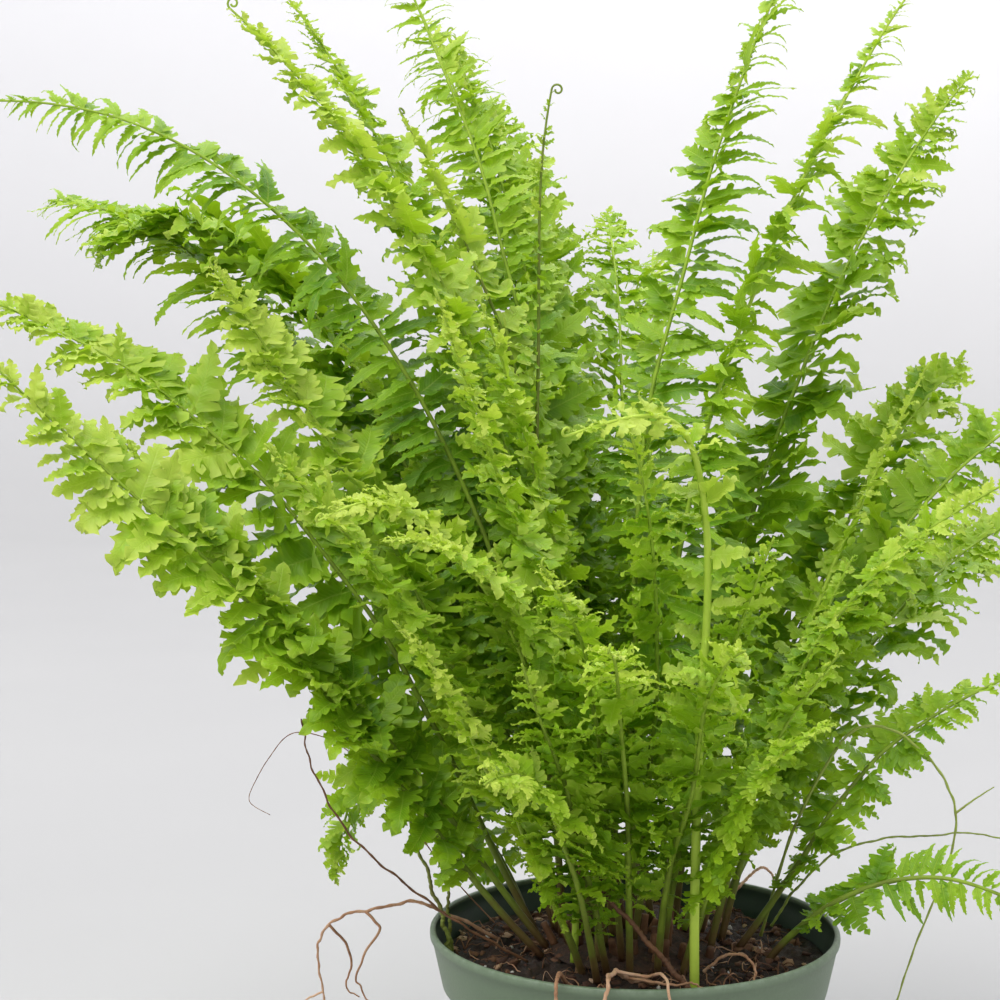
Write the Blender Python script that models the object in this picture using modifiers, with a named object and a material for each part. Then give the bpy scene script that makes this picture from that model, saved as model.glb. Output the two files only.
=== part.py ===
"""Potted fern: a leafy sword fern in a plain round nursery pot.

Metres, +Z up. The origin is the middle of the pot's flat underside.
Every frond is one leaf, so it is one solid: a stalk that carries a toothed blade.
"""

import math

import bmesh
import bpy
import numpy as np
from mathutils.bvhtree import BVHTree

# ---------------------------------------------------------------- dimensions
POT_H = 0.114  # height of the pot
POT_RIM_R = 0.076  # outside radius at the lip
POT_BAND_R = 0.0715  # outside radius at the foot of the rim band
POT_BAND_H = 0.022  # height of the rim band
POT_NECK_R = 0.0675  # outside radius of the wall under the band
POT_BASE_R = 0.052  # outside radius at the underside
POT_WALL = 0.0015
POT_FLOOR = 0.0025
HOLE_COUNT = 8
HOLE_R = 0.0045
HOLE_RING_R = 0.038

GAP = 0.0003  # clearance between neighbouring pieces
SOIL_TOP = 0.102  # soil height where it meets the pot
SOIL_DOME = 0.004  # rise of the soil at its middle
CROWN_R = 0.034
CROWN_H = 0.007

STALK_R0 = 0.0017  # stalk radius at the crown
STALK_R1 = 0.0005  # midrib radius at the tip
TOOTH_PITCH = 0.023  # spacing of the blade's teeth
GUTTER = 0.0030  # half width of the blade between its teeth
BLADE_FROM = 0.055  # bare stalk below the blade
STALK_SPACING = 0.0085  # between stalks where they leave the crown
RIB_SPACING = 0.0065  # between midribs in the bush
STEPS = 48

# One row a frond, in millimetres and degrees:
# tip x, y, z, arch each way from the chord, extra droop at the tip, half width of the blade, extras
FRONDS = {
    "frond_01": ((-235, 20, 418), 34, 22, 20, {}),
    "frond_02": ((-147, 0, 450), 16, 12, 18, {}),
    "frond_03": ((-85, 170, 474), 16, 6, 22, {}),
    "frond_04": ((-73, 140, 459), 14, 4, 18, {}),
    "frond_05": ((-54, 205, 440), 18, 8, 22, {}),
    "frond_06": ((-95, 110, 488), 14, 4, 20, {}),
    "frond_07": ((-145, 150, 480), 16, 6, 20, {}),
    "frond_08": ((-87, 50, 418), 12, 6, 14, {}),
    "frond_09": ((-30, 20, 422), 2, 0, 12, {"bow": (-22, 0)}),
    "frond_10": ((0, 220, 390), 20, 10, 20, {}),
    "frond_11": ((25, 250, 372), 22, 10, 20, {}),
    "frond_12": ((-70, -90, 348), 8, 0, 18, {}),
    "frond_13": ((64, 50, 480), 12, 2, 17, {"bow": (-12, 0)}),
    "frond_14": ((100, 20, 456), 16, 2, 19, {"bow": (-6, 0)}),
    "frond_15": ((147, 120, 441), 18, 6, 19, {}),
    "frond_16": ((112, 30, 320), 4, 0, 12, {}),
    "frond_17": ((132, -30, 284), 20, 14, 18, {}),
    "frond_18": ((131, 50, 264), 16, 8, 17, {}),
    "frond_19": ((185, 160, 252), 18, 10, 19, {}),
    "frond_20": ((186, 60, 312), 24, 14, 22, {}),
    "frond_21": ((146, 120, 322), 14, 6, 20, {}),
    "frond_22": ((146, 0, 212), 10, 18, 17, {}),
    "frond_23": ((155, -40, 124), 0, 0, 20, {"start": (36, -14), "end": (118, -14), "reach": (0.45, 0.42)}),
    "frond_24": ((-222, -50, 323), 1, 8, 18, {}),
    "frond_25": ((-187, -30, 300), 2, 5, 18, {}),
    "frond_26": ((-242, 40, 345), 15, 16, 20, {}),
    "frond_27": ((-222, 140, 366), 28, 52, 20, {}),
    "frond_28": ((-250, 170, 392), 22, 20, 22, {}),
    "frond_29": ((-120, 100, 104), 0, 0, 22, {"start": (26, 140), "end": (174, 140), "reach": (0.75, 0.62)}),
    "frond_30": ((-152, -20, 358), 8, 0, 19, {}),
    "frond_31": ((-108, -120, 278), 42, 32, 17, {}),
    "frond_32": ((-85, -130, 272), 40, 14, 19, {}),
    "frond_33": ((-82, -120, 245), 8, 0, 20, {}),
    "frond_34": ((-28, -100, 302), 0, 0, 20, {"base": (18, -50), "start": (-2, 90), "end": (108, 200), "reach": (1.0, 0.30)}),
    "frond_35": ((-6, -70, 302), 6, 0, 18, {"bow": (8, 0)}),
    "frond_36": ((-36, -120, 263), 16, 12, 18, {}),
    "frond_37": ((-43, -120, 231), 8, 0, 18, {}),
    "frond_38": ((10, 50, 335), 6, 0, 20, {}),
    "frond_39": ((-57, -30, 345), 8, 2, 20, {}),
    "frond_40": ((-110, 20, 330), 10, 4, 20, {}),
    "frond_41": ((-127, -80, 300), 10, 4, 20, {}),
    "frond_42": ((40, -80, 267), 10, 2, 20, {}),
    "frond_43": ((26, -130, 238), 20, 10, 18, {}),
    "frond_44": ((80, 0, 252), 6, 2, 20, {}),
    "frond_45": ((66, -60, 227), 10, 2, 19, {}),
    "frond_46": ((54, -112, 212), 18, 10, 18, {}),
    "frond_47": ((-18, -150, 240), 26, 20, 18, {}),
    "frond_48": ((-55, -142, 200), 26, 20, 18, {}),
    "frond_49": ((62, 170, 248), 22, 16, 20, {}),
    "frond_50": ((-62, 165, 236), 24, 18, 20, {}),
}

# Thin wiry pieces, in millimetres: the points that each passes through, and its radius
WIRES = {
    "runner_right": ([(48, 6, 108), (60, 4, 150), (78, 0, 186), (96, -4, 188), (112, -6, 172), (118, -8, 156), (112, -8, 132), (102, -8, 104), (93, -8, 76), (88, -8, 50)], 1.0),
    "runner_right_low": ([(54, 22, 107), (66, 24, 124), (84, 26, 137), (108, 26, 141), (132, 26, 142), (152, 26, 139)], 0.9),
    "runner_left_high": ([(-40, -22, 107), (-62, -30, 122), (-84, -36, 140), (-104, -40, 160), (-116, -42, 184), (-119, -42, 200)], 0.9),
    "runner_left_rim": ([(-50, 8, 106), (-66, 8, 114), (-78, 8, 120), (-92, 8, 119), (-106, 8, 116), (-116, 8, 110), (-119, 8, 98), (-116, 8, 84), (-119, 8, 68)], 1.0),
    "root_front_left": ([(-24, -48, 105.6), (-27, -56, 110), (-29, -63, 115.2), (-30, -69, 117.4), (-31, -74, 115.4), (-31, -75, 108), (-31, -74, 98), (-30, -73, 87), (-30, -71, 76)], 1.0),
    "root_front_middle": ([(4, -46, 106.6), (-4, -54, 111), (-10, -64, 116), (-13, -72, 118), (-14, -78.5, 116), (-15, -80.5, 108), (-15, -80, 99), (-14, -79, 89), (-13, -77, 78)], 1.1),
    "dead_stalk": ([(16, -55, 107), (6, -52, 118), (-6, -48, 131), (-20, -44, 144), (-33, -40, 155)], 1.4),
}


# ---------------------------------------------------------------- scene set-up
for old in list(bpy.data.objects):
    bpy.data.objects.remove(old, do_unlink=True)

parts = bpy.data.collections.new("potted_fern")
cutters = bpy.data.collections.new("cutters")
bpy.context.scene.collection.children.link(parts)
bpy.context.scene.collection.children.link(cutters)


def material(name, colour, roughness):
    mat = bpy.data.materials.new(name)
    mat.use_nodes = True
    shader = mat.node_tree.nodes["Principled BSDF"]
    shader.inputs["Base Color"].default_value = (*colour, 1)
    shader.inputs["Roughness"].default_value = roughness
    shader.inputs["Metallic"].default_value = 0.0
    return mat


def add_mesh(name, verts, faces, mat, collection=parts, smooth=False):
    mesh = bpy.data.meshes.new(name)
    mesh.from_pydata([tuple(v) for v in verts], [], faces)
    mesh.update()
    if smooth:
        mesh.shade_smooth()
    if mat:
        mesh.materials.append(mat)
    obj = bpy.data.objects.new(name, mesh)
    collection.objects.link(obj)
    return obj


def turned(name, profile, mat, steps=48):
    """A profile (radius, height) turned about Z, running up the inside and down the outside."""
    obj = add_mesh(name, [(r, 0, z) for r, z in profile], [], mat)
    obj.data.clear_geometry()
    obj.data.from_pydata([(r, 0, z) for r, z in profile], [(i, i + 1) for i in range(len(profile) - 1)], [])
    screw = obj.modifiers.new("turn", "SCREW")
    screw.axis = "Z"
    screw.steps = screw.render_steps = steps
    screw.use_merge_vertices = True
    screw.merge_threshold = 0.00001
    screw.use_smooth_shade = True
    return obj


# ---------------------------------------------------------------- pot
def pot_inner_radius(z):
    """Inside radius of the pot at height z."""
    neck_z = POT_H - POT_BAND_H
    if z >= neck_z + 0.002:
        share = (z - neck_z - 0.002) / (POT_BAND_H - 0.002)
        return POT_BAND_R - POT_WALL + share * (POT_RIM_R - POT_BAND_R)
    share = max(z, 0) / neck_z
    return POT_BASE_R + share * (POT_NECK_R - POT_BASE_R) - POT_WALL


neck = POT_H - POT_BAND_H
pot_profile = [
    (0, POT_FLOOR),
    (pot_inner_radius(POT_FLOOR), POT_FLOOR),
    (POT_NECK_R - POT_WALL, neck),
    (POT_BAND_R - POT_WALL, neck + 0.002),
    (POT_RIM_R - POT_WALL, POT_H - 0.0008),
    (POT_RIM_R - POT_WALL + 0.0005, POT_H),
    (POT_RIM_R - 0.0004, POT_H),
    (POT_RIM_R, POT_H - 0.0006),
    (POT_BAND_R, neck + 0.0006),
    (POT_BAND_R - 0.0008, neck),
    (POT_NECK_R, neck - 0.0015),
    (POT_BASE_R + 0.0010, 0.0030),
    (POT_BASE_R, 0.0010),
    (POT_BASE_R - 0.0012, 0),
    (0, 0),
]
pot = turned("pot", pot_profile, material("pot_plastic", (0.14, 0.20, 0.14), 0.45))
for k in range(HOLE_COUNT):
    a = 2 * math.pi * (k + 0.5) / HOLE_COUNT
    bpy.ops.mesh.primitive_cylinder_add(vertices=12, radius=HOLE_R, depth=0.02, location=(HOLE_RING_R * math.cos(a), HOLE_RING_R * math.sin(a), 0.001))
    drill = bpy.context.object
    drill.name = f"drill_{k + 1}"
    for c in list(drill.users_collection):
        c.objects.unlink(drill)
    cutters.objects.link(drill)
    drill.hide_render = True
    drill.display_type = "WIRE"
    cut = pot.modifiers.new(f"drain_{k + 1}", "BOOLEAN")
    cut.operation = "DIFFERENCE"
    cut.solver = "EXACT"
    cut.object = drill


# ---------------------------------------------------------------- soil and crown
def soil_height(r):
    return SOIL_TOP + SOIL_DOME * (1 - (r / 0.070) ** 2)


def crown_height(r):
    return SOIL_TOP + SOIL_DOME - 0.001 + CROWN_H * (1 - (r / CROWN_R) ** 2)


def ground(r):
    return max(soil_height(r), crown_height(r)) if r < CROWN_R else soil_height(r)


soil_edge = pot_inner_radius(soil_height(0.0725)) - 2 * GAP
soil_profile = [(r, soil_height(r)) for r in (0, 0.010, 0.025, 0.040, 0.055, 0.069)]
soil_profile += [
    (soil_edge, soil_height(soil_edge) - 0.0003),
    (POT_BAND_R - POT_WALL - 2 * GAP, neck + 0.0026),
    (POT_NECK_R - POT_WALL - 2 * GAP, neck + 0.0002),
    (pot_inner_radius(POT_FLOOR + GAP) - 2 * GAP, POT_FLOOR + GAP),
    (0, POT_FLOOR + GAP),
]
soil = turned("soil", soil_profile, material("potting_mix", (0.030, 0.016, 0.010), 0.95))

crown_edge = CROWN_R - 0.0018
crown_profile = [(r, crown_height(r)) for r in (0, 0.008, 0.016, 0.023, 0.029, crown_edge)]
crown_profile += [(r, soil_height(r) + GAP) for r in (crown_edge - 0.0008, 0.022, 0.011, 0)]
crown = turned("crown", crown_profile, material("crown_wood", (0.075, 0.040, 0.020), 0.9), 32)


# ---------------------------------------------------------------- frond and wire paths
def heading(tilt, azimuth):
    t, a = math.radians(tilt), math.radians(azimuth)
    return np.array([math.sin(t) * math.cos(a), math.sin(t) * math.sin(a), math.cos(t)])


def control_points(base, row):
    """Four Bezier points: the stalk leaves the crown steeper than its chord and ends flatter."""
    tip, bend, droop, _, more = row
    tip = np.array(tip) / 1000
    reach = more.get("reach", (0.36, 0.36))
    base = np.array([base[0], base[1], 0.0])
    base[2] = ground(max(math.hypot(base[0], base[1]) - STALK_R0, 0)) + 0.0004
    chord = tip - base
    length = np.linalg.norm(chord)
    lean = math.degrees(math.atan2(math.hypot(chord[0], chord[1]), chord[2]))
    azimuth = math.degrees(math.atan2(chord[1], chord[0]))
    start = heading(*more["start"]) if "start" in more else heading(lean - bend, azimuth)
    end = heading(*more["end"]) if "end" in more else heading(lean + bend + droop, azimuth)
    bow = np.array([*more.get("bow", (0, 0)), 0.0]) / 750
    return np.array([base, base + reach[0] * length * start + bow, tip - reach[1] * length * end + bow, tip])


def weights(n):
    t = np.linspace(0, 1, n)
    return np.array([(1 - t) ** 3, 3 * t * (1 - t) ** 2, 3 * t * t * (1 - t), t**3])


def frond_paths():
    """Every frond's Bezier points, spread so that no two stalks or midribs touch."""
    names = list(FRONDS)
    bases, fixed = [], []
    for name in names:
        (x, y, z), _, _, _, more = FRONDS[name]
        lean = math.degrees(math.atan2(math.hypot(x, y), z - 1000 * SOIL_TOP))
        r, a = 0.050 * min(lean / 68, 1.0), math.atan2(y, x)
        bases.append([v / 1000 for v in more["base"]] if "base" in more else [r * math.cos(a), r * math.sin(a)])
        fixed.append("base" in more)
    bases, fixed = np.array(bases), np.array(fixed)
    for _ in range(300):
        diff = bases[:, None] - bases[None]
        dist = np.linalg.norm(diff, axis=2) + 1e-9
        push = np.clip(STALK_SPACING - dist, 0, None)
        np.fill_diagonal(push, 0)
        if push.max() < 1e-5:
            break
        move = (diff / dist[..., None] * push[..., None]).sum(1) * 0.5
        move[fixed] = 0
        bases += move
        r = np.linalg.norm(bases, axis=1)
        bases[r > 0.056] *= (0.056 / r[r > 0.056])[:, None]
    ctrl = np.array([control_points(b, FRONDS[n]) for b, n in zip(bases, names)])
    w = weights(33)
    for _ in range(150):
        pts = np.einsum("kt,nkd->ntd", w, ctrl)
        shift = np.zeros((len(names), 2, 3))
        close = 0
        for i in range(len(names)):
            for j in range(i + 1, len(names)):
                apart = pts[i][:, None] - pts[j][None]
                dist = np.linalg.norm(apart, axis=2)
                a, b = np.unravel_index(dist.argmin(), dist.shape)
                if dist[a, b] < RIB_SPACING and (a > 2 or b > 2):
                    step = apart[a, b] / (dist[a, b] + 1e-9) * (RIB_SPACING - dist[a, b]) * 0.8
                    shift[i] += step * w[1:3, a][:, None]
                    shift[j] -= step * w[1:3, b][:, None]
                    close += 1
        ctrl[:, 1:3] += shift
        if not close:
            break
    return dict(zip(names, ctrl))


def bezier(ctrl, t):
    t = np.atleast_1d(t)[:, None]
    return (1 - t) ** 3 * ctrl[0] + 3 * t * (1 - t) ** 2 * ctrl[1] + 3 * t * t * (1 - t) * ctrl[2] + t**3 * ctrl[3]


def by_length(ctrl):
    """Length along the path, and a function from length to the Bezier parameter."""
    t = np.linspace(0, 1, 201)
    p = bezier(ctrl, t)
    s = np.concatenate([[0], np.cumsum(np.linalg.norm(np.diff(p, axis=0), axis=1))])
    return s[-1], lambda d: np.interp(d, s, t)


def through(points, n):
    """A smooth curve through the points, as n points."""
    p = np.array(points, float) / 1000
    p = np.vstack([2 * p[0] - p[1], p, 2 * p[-1] - p[-2]])
    out = []
    for u in np.linspace(0, len(points) - 1 - 1e-6, n):
        k, t = int(u), u - int(u)
        a, b, c, d = p[k : k + 4]
        out.append(0.5 * (2 * b + (c - a) * t + (2 * a - 5 * b + 4 * c - d) * t * t + (3 * b - a - 3 * c + d) * t**3))
    return np.array(out)


FROND_PATHS = frond_paths()


def wire_paths():
    """The thin pieces slip past the stalks that they would touch."""
    ribs = np.concatenate([bezier(c, np.linspace(0, 1, 121)) for c in FROND_PATHS.values()])
    out = {}
    done = []
    for name, (points, radius) in WIRES.items():
        p = through(points, 34)
        for _ in range(80):
            others = np.concatenate([ribs, *done]) if done else ribs
            apart = p[:, None] - others[None]
            dist = np.linalg.norm(apart, axis=2)
            near = dist.argmin(1)
            low = dist[np.arange(len(p)), near]
            want = 0.0042
            push = np.clip(want - low, 0, None)
            if push.max() < 1e-5:
                break
            step = apart[np.arange(len(p)), near] / (low[:, None] + 1e-9) * push[:, None]
            soft = step.copy()
            soft[1:] += 0.6 * step[:-1]
            soft[:-1] += 0.6 * step[1:]
            soft[:, 2] = np.where(p[:, 2] < 0.125, 0, soft[:, 2])
            p += soft * 0.6
        out[name] = (p, radius / 1000)
        done.append(p)
    return out


# ---------------------------------------------------------------- frond solids
leaf_mat = material("frond_green", (0.13, 0.32, 0.03), 0.5)


class Frond:
    """A stalk of four-cornered section whose side corners reach out into the blade's teeth."""

    def __init__(self, name):
        self.name = name
        self.ctrl = FROND_PATHS[name]
        self.width = FRONDS[name][3] / 1000
        length, at = by_length(self.ctrl)
        blade = length - BLADE_FROM
        self.teeth = max(5, round(blade / TOOTH_PITCH))
        marks = [0.0, BLADE_FROM * 0.5, BLADE_FROM]
        self.tooth_of = [-1, -1, -1]
        for k in range(self.teeth):
            s0 = BLADE_FROM + blade * (k + 0.55) / self.teeth
            s1 = BLADE_FROM + blade * (k + 1) / self.teeth
            marks += [s0, s1]
            self.tooth_of += [k, -1]
        marks[-1] = length
        self.marks = np.array(marks) / length
        t = at(np.array(marks))
        self.points = bezier(self.ctrl, t)
        ahead = bezier(self.ctrl, np.clip(t + 0.01, 0, 1)) - bezier(self.ctrl, np.clip(t - 0.01, 0, 1))
        self.forward = ahead / np.linalg.norm(ahead, axis=1)[:, None]
        out = self.ctrl[3] - self.ctrl[0]
        azimuth = math.atan2(out[1], out[0])
        face = np.array([-0.75 * math.cos(azimuth), -0.75 * math.sin(azimuth), 0.66])
        if "end" in FRONDS[name][4] and "base" in FRONDS[name][4]:
            face = np.array([-0.2, -0.6, 0.7])
        normal = face - self.forward * (self.forward @ face)[:, None]
        self.normal = normal / np.linalg.norm(normal, axis=1)[:, None]
        self.side = np.cross(self.forward, self.normal)
        outline = []
        for k in range(self.teeth):
            u = (k + 0.5) / self.teeth
            outline.append(self.width * min(1.0, 0.45 + 2.6 * u) * (1 - 0.72 * max(u - 0.35, 0) / 0.65))
        self.reach = np.array([outline, outline])  # right and left

    def build(self, grow=0.0):
        verts, faces = [], []
        n = len(self.points)
        for k, p in enumerate(self.points):
            r = STALK_R0 + (STALK_R1 - STALK_R0) * self.marks[k] + grow
            tooth = self.tooth_of[k]
            if tooth >= 0:
                right, left = self.reach[0][tooth] + grow * 1.5, self.reach[1][tooth] + grow * 1.5
            elif k > 1 and k < n - 1:
                right = left = GUTTER * (1 - 0.6 * self.marks[k]) + grow
            else:
                right = left = r
            up, side, fore = self.normal[k], self.side[k], self.forward[k]
            if k == 0:
                side = np.array([side[0], side[1], 0.0])
                side /= np.linalg.norm(side)
                up = np.array([-side[1], side[0], 0.0])
                up *= 1 if up @ self.normal[0] > 0 else -1
                right = left = r
            sweep = fore * 0.22
            verts += [p + up * r, p + side * right + sweep * max(right - r, 0), p - up * r, p - side * left + sweep * max(left - r, 0)]
        for k in range(n - 1):
            a, b = 4 * k, 4 * k + 4
            for i, j in ((0, 1), (1, 2), (2, 3), (3, 0)):
                faces += [(a + i, b + j, b + i), (a + i, a + j, b + j)]
        last = 4 * (n - 1)
        faces += [(0, 2, 1), (0, 3, 2), (last, last + 1, last + 2), (last, last + 2, last + 3)]
        return verts, faces

    def shrink(self, face, share=0.78):
        """Shortens the tooth under this face; false where the face belongs to the stalk alone."""
        seg, side = face // 8, 0 if face % 8 < 4 else 1
        for k in (seg, seg + 1):
            if k < len(self.tooth_of) and self.tooth_of[k] >= 0:
                t = self.tooth_of[k]
                if self.reach[side][t] > 0.0016:
                    self.reach[side][t] = max(self.reach[side][t] * share, 0.0015)
                    return True
        return False

    def tooth_width(self, face):
        seg, side = face // 8, 0 if face % 8 < 4 else 1
        for k in (seg, seg + 1):
            if k < len(self.tooth_of) and self.tooth_of[k] >= 0:
                return self.reach[side][self.tooth_of[k]]
        return 0.0


def tube(name, points, radius, mat):
    curve = bpy.data.curves.new(name, "CURVE")
    curve.dimensions = "3D"
    curve.bevel_depth = radius
    curve.bevel_resolution = 0
    curve.use_fill_caps = True
    curve.resolution_u = 1
    spline = curve.splines.new("POLY")
    spline.points.add(len(points) - 1)
    for i, p in enumerate(points):
        spline.points[i].co = (*p, 1)
        spline.points[i].radius = 1.0 - 0.45 * i / (len(points) - 1)
    curve.materials.append(mat)
    obj = bpy.data.objects.new(name, curve)
    parts.objects.link(obj)
    return obj


def tree_of(obj):
    deps = bpy.context.evaluated_depsgraph_get()
    ev = obj.evaluated_get(deps)
    mesh = ev.to_mesh()
    verts = [obj.matrix_world @ v.co for v in mesh.vertices]
    polys = [tuple(p.vertices) for p in mesh.polygons]
    ev.to_mesh_clear()
    return BVHTree.FromPolygons(verts, polys)


wire_mat = material("dry_runner", (0.42, 0.25, 0.14), 0.8)
green_wire = material("green_runner", (0.22, 0.26, 0.07), 0.6)
for name, (points, radius) in wire_paths().items():
    tube(name, points, radius, green_wire if name.startswith("runner_right") else wire_mat)

bpy.context.view_layer.update()
solid = [tree_of(o) for o in parts.objects]
fronds = [Frond(name) for name in FRONDS]
for _ in range(60):
    trees = []
    for f in fronds:
        verts, faces = f.build(0.0003)
        trees.append(BVHTree.FromPolygons(verts, faces, all_triangles=True))
    touching = 0
    for i, f in enumerate(fronds):
        for block in solid:
            for face, _ in trees[i].overlap(block):
                touching += f.shrink(face)
        for j in range(i):
            for a, b in trees[i].overlap(trees[j]):
                wide_first = f.tooth_width(a) >= fronds[j].tooth_width(b)
                done = f.shrink(a, 0.9) if wide_first else fronds[j].shrink(b, 0.9)
                if not done:
                    done = fronds[j].shrink(b, 0.9) if wide_first else f.shrink(a, 0.9)
                touching += done
    if not touching:
        break

for f in fronds:
    verts, faces = f.build()
    add_mesh(f.name, verts, faces, leaf_mat)
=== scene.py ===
"""The looks of the potted fern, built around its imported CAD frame. Metres, +Z up."""

import math

import bpy
import numpy as np
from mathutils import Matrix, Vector


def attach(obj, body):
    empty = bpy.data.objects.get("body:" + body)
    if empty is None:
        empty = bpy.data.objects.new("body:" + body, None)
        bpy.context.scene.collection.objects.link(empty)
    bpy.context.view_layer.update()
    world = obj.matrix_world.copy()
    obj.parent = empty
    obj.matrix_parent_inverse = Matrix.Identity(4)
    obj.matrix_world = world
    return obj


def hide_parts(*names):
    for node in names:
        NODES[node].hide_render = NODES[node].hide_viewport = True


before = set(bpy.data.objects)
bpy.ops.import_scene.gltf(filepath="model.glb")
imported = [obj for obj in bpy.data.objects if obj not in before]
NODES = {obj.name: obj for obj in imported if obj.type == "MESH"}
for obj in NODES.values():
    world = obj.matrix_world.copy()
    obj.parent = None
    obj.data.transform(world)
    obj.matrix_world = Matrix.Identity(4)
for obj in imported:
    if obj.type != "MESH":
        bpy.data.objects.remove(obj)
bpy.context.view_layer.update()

# ---------------------------------------------------------------- the sizes that the CAD part has too
POT_H = 0.114
POT_RIM_R = 0.076
POT_BAND_R = 0.0715
POT_BAND_H = 0.022
POT_NECK_R = 0.0675
POT_BASE_R = 0.052
POT_WALL = 0.0015
POT_FLOOR = 0.0025
HOLE_COUNT = 8
HOLE_R = 0.0045
HOLE_RING_R = 0.038
GAP = 0.0003
SOIL_TOP = 0.102
SOIL_DOME = 0.004
CROWN_R = 0.034
CROWN_H = 0.007
STALK_R0 = 0.0017
STALK_R1 = 0.0005
STALK_SPACING = 0.0085
RIB_SPACING = 0.0065
NECK = POT_H - POT_BAND_H
# One row a frond, in millimetres and degrees:
# tip x, y, z, arch each way from the chord, extra droop at the tip, half width of the blade, extras
FRONDS = {
    "frond_01": ((-235, 20, 418), 34, 22, 20, {}),
    "frond_02": ((-147, 0, 450), 16, 12, 18, {}),
    "frond_03": ((-85, 170, 474), 16, 6, 22, {}),
    "frond_04": ((-73, 140, 459), 14, 4, 18, {}),
    "frond_05": ((-54, 205, 440), 18, 8, 22, {}),
    "frond_06": ((-95, 110, 488), 14, 4, 20, {}),
    "frond_07": ((-145, 150, 480), 16, 6, 20, {}),
    "frond_08": ((-87, 50, 418), 12, 6, 14, {}),
    "frond_09": ((-30, 20, 422), 2, 0, 12, {"bow": (-22, 0)}),
    "frond_10": ((0, 220, 390), 20, 10, 20, {}),
    "frond_11": ((25, 250, 372), 22, 10, 20, {}),
    "frond_12": ((-70, -90, 348), 8, 0, 18, {}),
    "frond_13": ((64, 50, 480), 12, 2, 17, {"bow": (-12, 0)}),
    "frond_14": ((100, 20, 456), 16, 2, 19, {"bow": (-6, 0)}),
    "frond_15": ((147, 120, 441), 18, 6, 19, {}),
    "frond_16": ((112, 30, 320), 4, 0, 12, {}),
    "frond_17": ((132, -30, 284), 20, 14, 18, {}),
    "frond_18": ((131, 50, 264), 16, 8, 17, {}),
    "frond_19": ((185, 160, 252), 18, 10, 19, {}),
    "frond_20": ((186, 60, 312), 24, 14, 22, {}),
    "frond_21": ((146, 120, 322), 14, 6, 20, {}),
    "frond_22": ((146, 0, 212), 10, 18, 17, {}),
    "frond_23": ((155, -40, 124), 0, 0, 20, {"start": (36, -14), "end": (118, -14), "reach": (0.45, 0.42)}),
    "frond_24": ((-222, -50, 323), 1, 8, 18, {}),
    "frond_25": ((-187, -30, 300), 2, 5, 18, {}),
    "frond_26": ((-242, 40, 345), 15, 16, 20, {}),
    "frond_27": ((-222, 140, 366), 28, 52, 20, {}),
    "frond_28": ((-250, 170, 392), 22, 20, 22, {}),
    "frond_29": ((-120, 100, 104), 0, 0, 22, {"start": (26, 140), "end": (174, 140), "reach": (0.75, 0.62)}),
    "frond_30": ((-152, -20, 358), 8, 0, 19, {}),
    "frond_31": ((-108, -120, 278), 42, 32, 17, {}),
    "frond_32": ((-85, -130, 272), 40, 14, 19, {}),
    "frond_33": ((-82, -120, 245), 8, 0, 20, {}),
    "frond_34": ((-28, -100, 302), 0, 0, 20, {"base": (18, -50), "start": (-2, 90), "end": (108, 200), "reach": (1.0, 0.30)}),
    "frond_35": ((-6, -70, 302), 6, 0, 18, {"bow": (8, 0)}),
    "frond_36": ((-36, -120, 263), 16, 12, 18, {}),
    "frond_37": ((-43, -120, 231), 8, 0, 18, {}),
    "frond_38": ((10, 50, 335), 6, 0, 20, {}),
    "frond_39": ((-57, -30, 345), 8, 2, 20, {}),
    "frond_40": ((-110, 20, 330), 10, 4, 20, {}),
    "frond_41": ((-127, -80, 300), 10, 4, 20, {}),
    "frond_42": ((40, -80, 267), 10, 2, 20, {}),
    "frond_43": ((26, -130, 238), 20, 10, 18, {}),
    "frond_44": ((80, 0, 252), 6, 2, 20, {}),
    "frond_45": ((66, -60, 227), 10, 2, 19, {}),
    "frond_46": ((54, -112, 212), 18, 10, 18, {}),
    "frond_47": ((-18, -150, 240), 26, 20, 18, {}),
    "frond_48": ((-55, -142, 200), 26, 20, 18, {}),
    "frond_49": ((62, 170, 248), 22, 16, 20, {}),
    "frond_50": ((-62, 165, 236), 24, 18, 20, {}),
}

# Thin wiry pieces, in millimetres: the points that each passes through, and its radius
WIRES = {
    "runner_right": ([(48, 6, 108), (60, 4, 150), (78, 0, 186), (96, -4, 188), (112, -6, 172), (118, -8, 156), (112, -8, 132), (102, -8, 104), (93, -8, 76), (88, -8, 50)], 1.0),
    "runner_right_low": ([(54, 22, 107), (66, 24, 124), (84, 26, 137), (108, 26, 141), (132, 26, 142), (152, 26, 139)], 0.9),
    "runner_left_high": ([(-40, -22, 107), (-62, -30, 122), (-84, -36, 140), (-104, -40, 160), (-116, -42, 184), (-119, -42, 200)], 0.9),
    "runner_left_rim": ([(-50, 8, 106), (-66, 8, 114), (-78, 8, 120), (-92, 8, 119), (-106, 8, 116), (-116, 8, 110), (-119, 8, 98), (-116, 8, 84), (-119, 8, 68)], 1.0),
    "root_front_left": ([(-24, -48, 105.6), (-27, -56, 110), (-29, -63, 115.2), (-30, -69, 117.4), (-31, -74, 115.4), (-31, -75, 108), (-31, -74, 98), (-30, -73, 87), (-30, -71, 76)], 1.0),
    "root_front_middle": ([(4, -46, 106.6), (-4, -54, 111), (-10, -64, 116), (-13, -72, 118), (-14, -78.5, 116), (-15, -80.5, 108), (-15, -80, 99), (-14, -79, 89), (-13, -77, 78)], 1.1),
    "dead_stalk": ([(16, -55, 107), (6, -52, 118), (-6, -48, 131), (-20, -44, 144), (-33, -40, 155)], 1.4),
}


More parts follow.
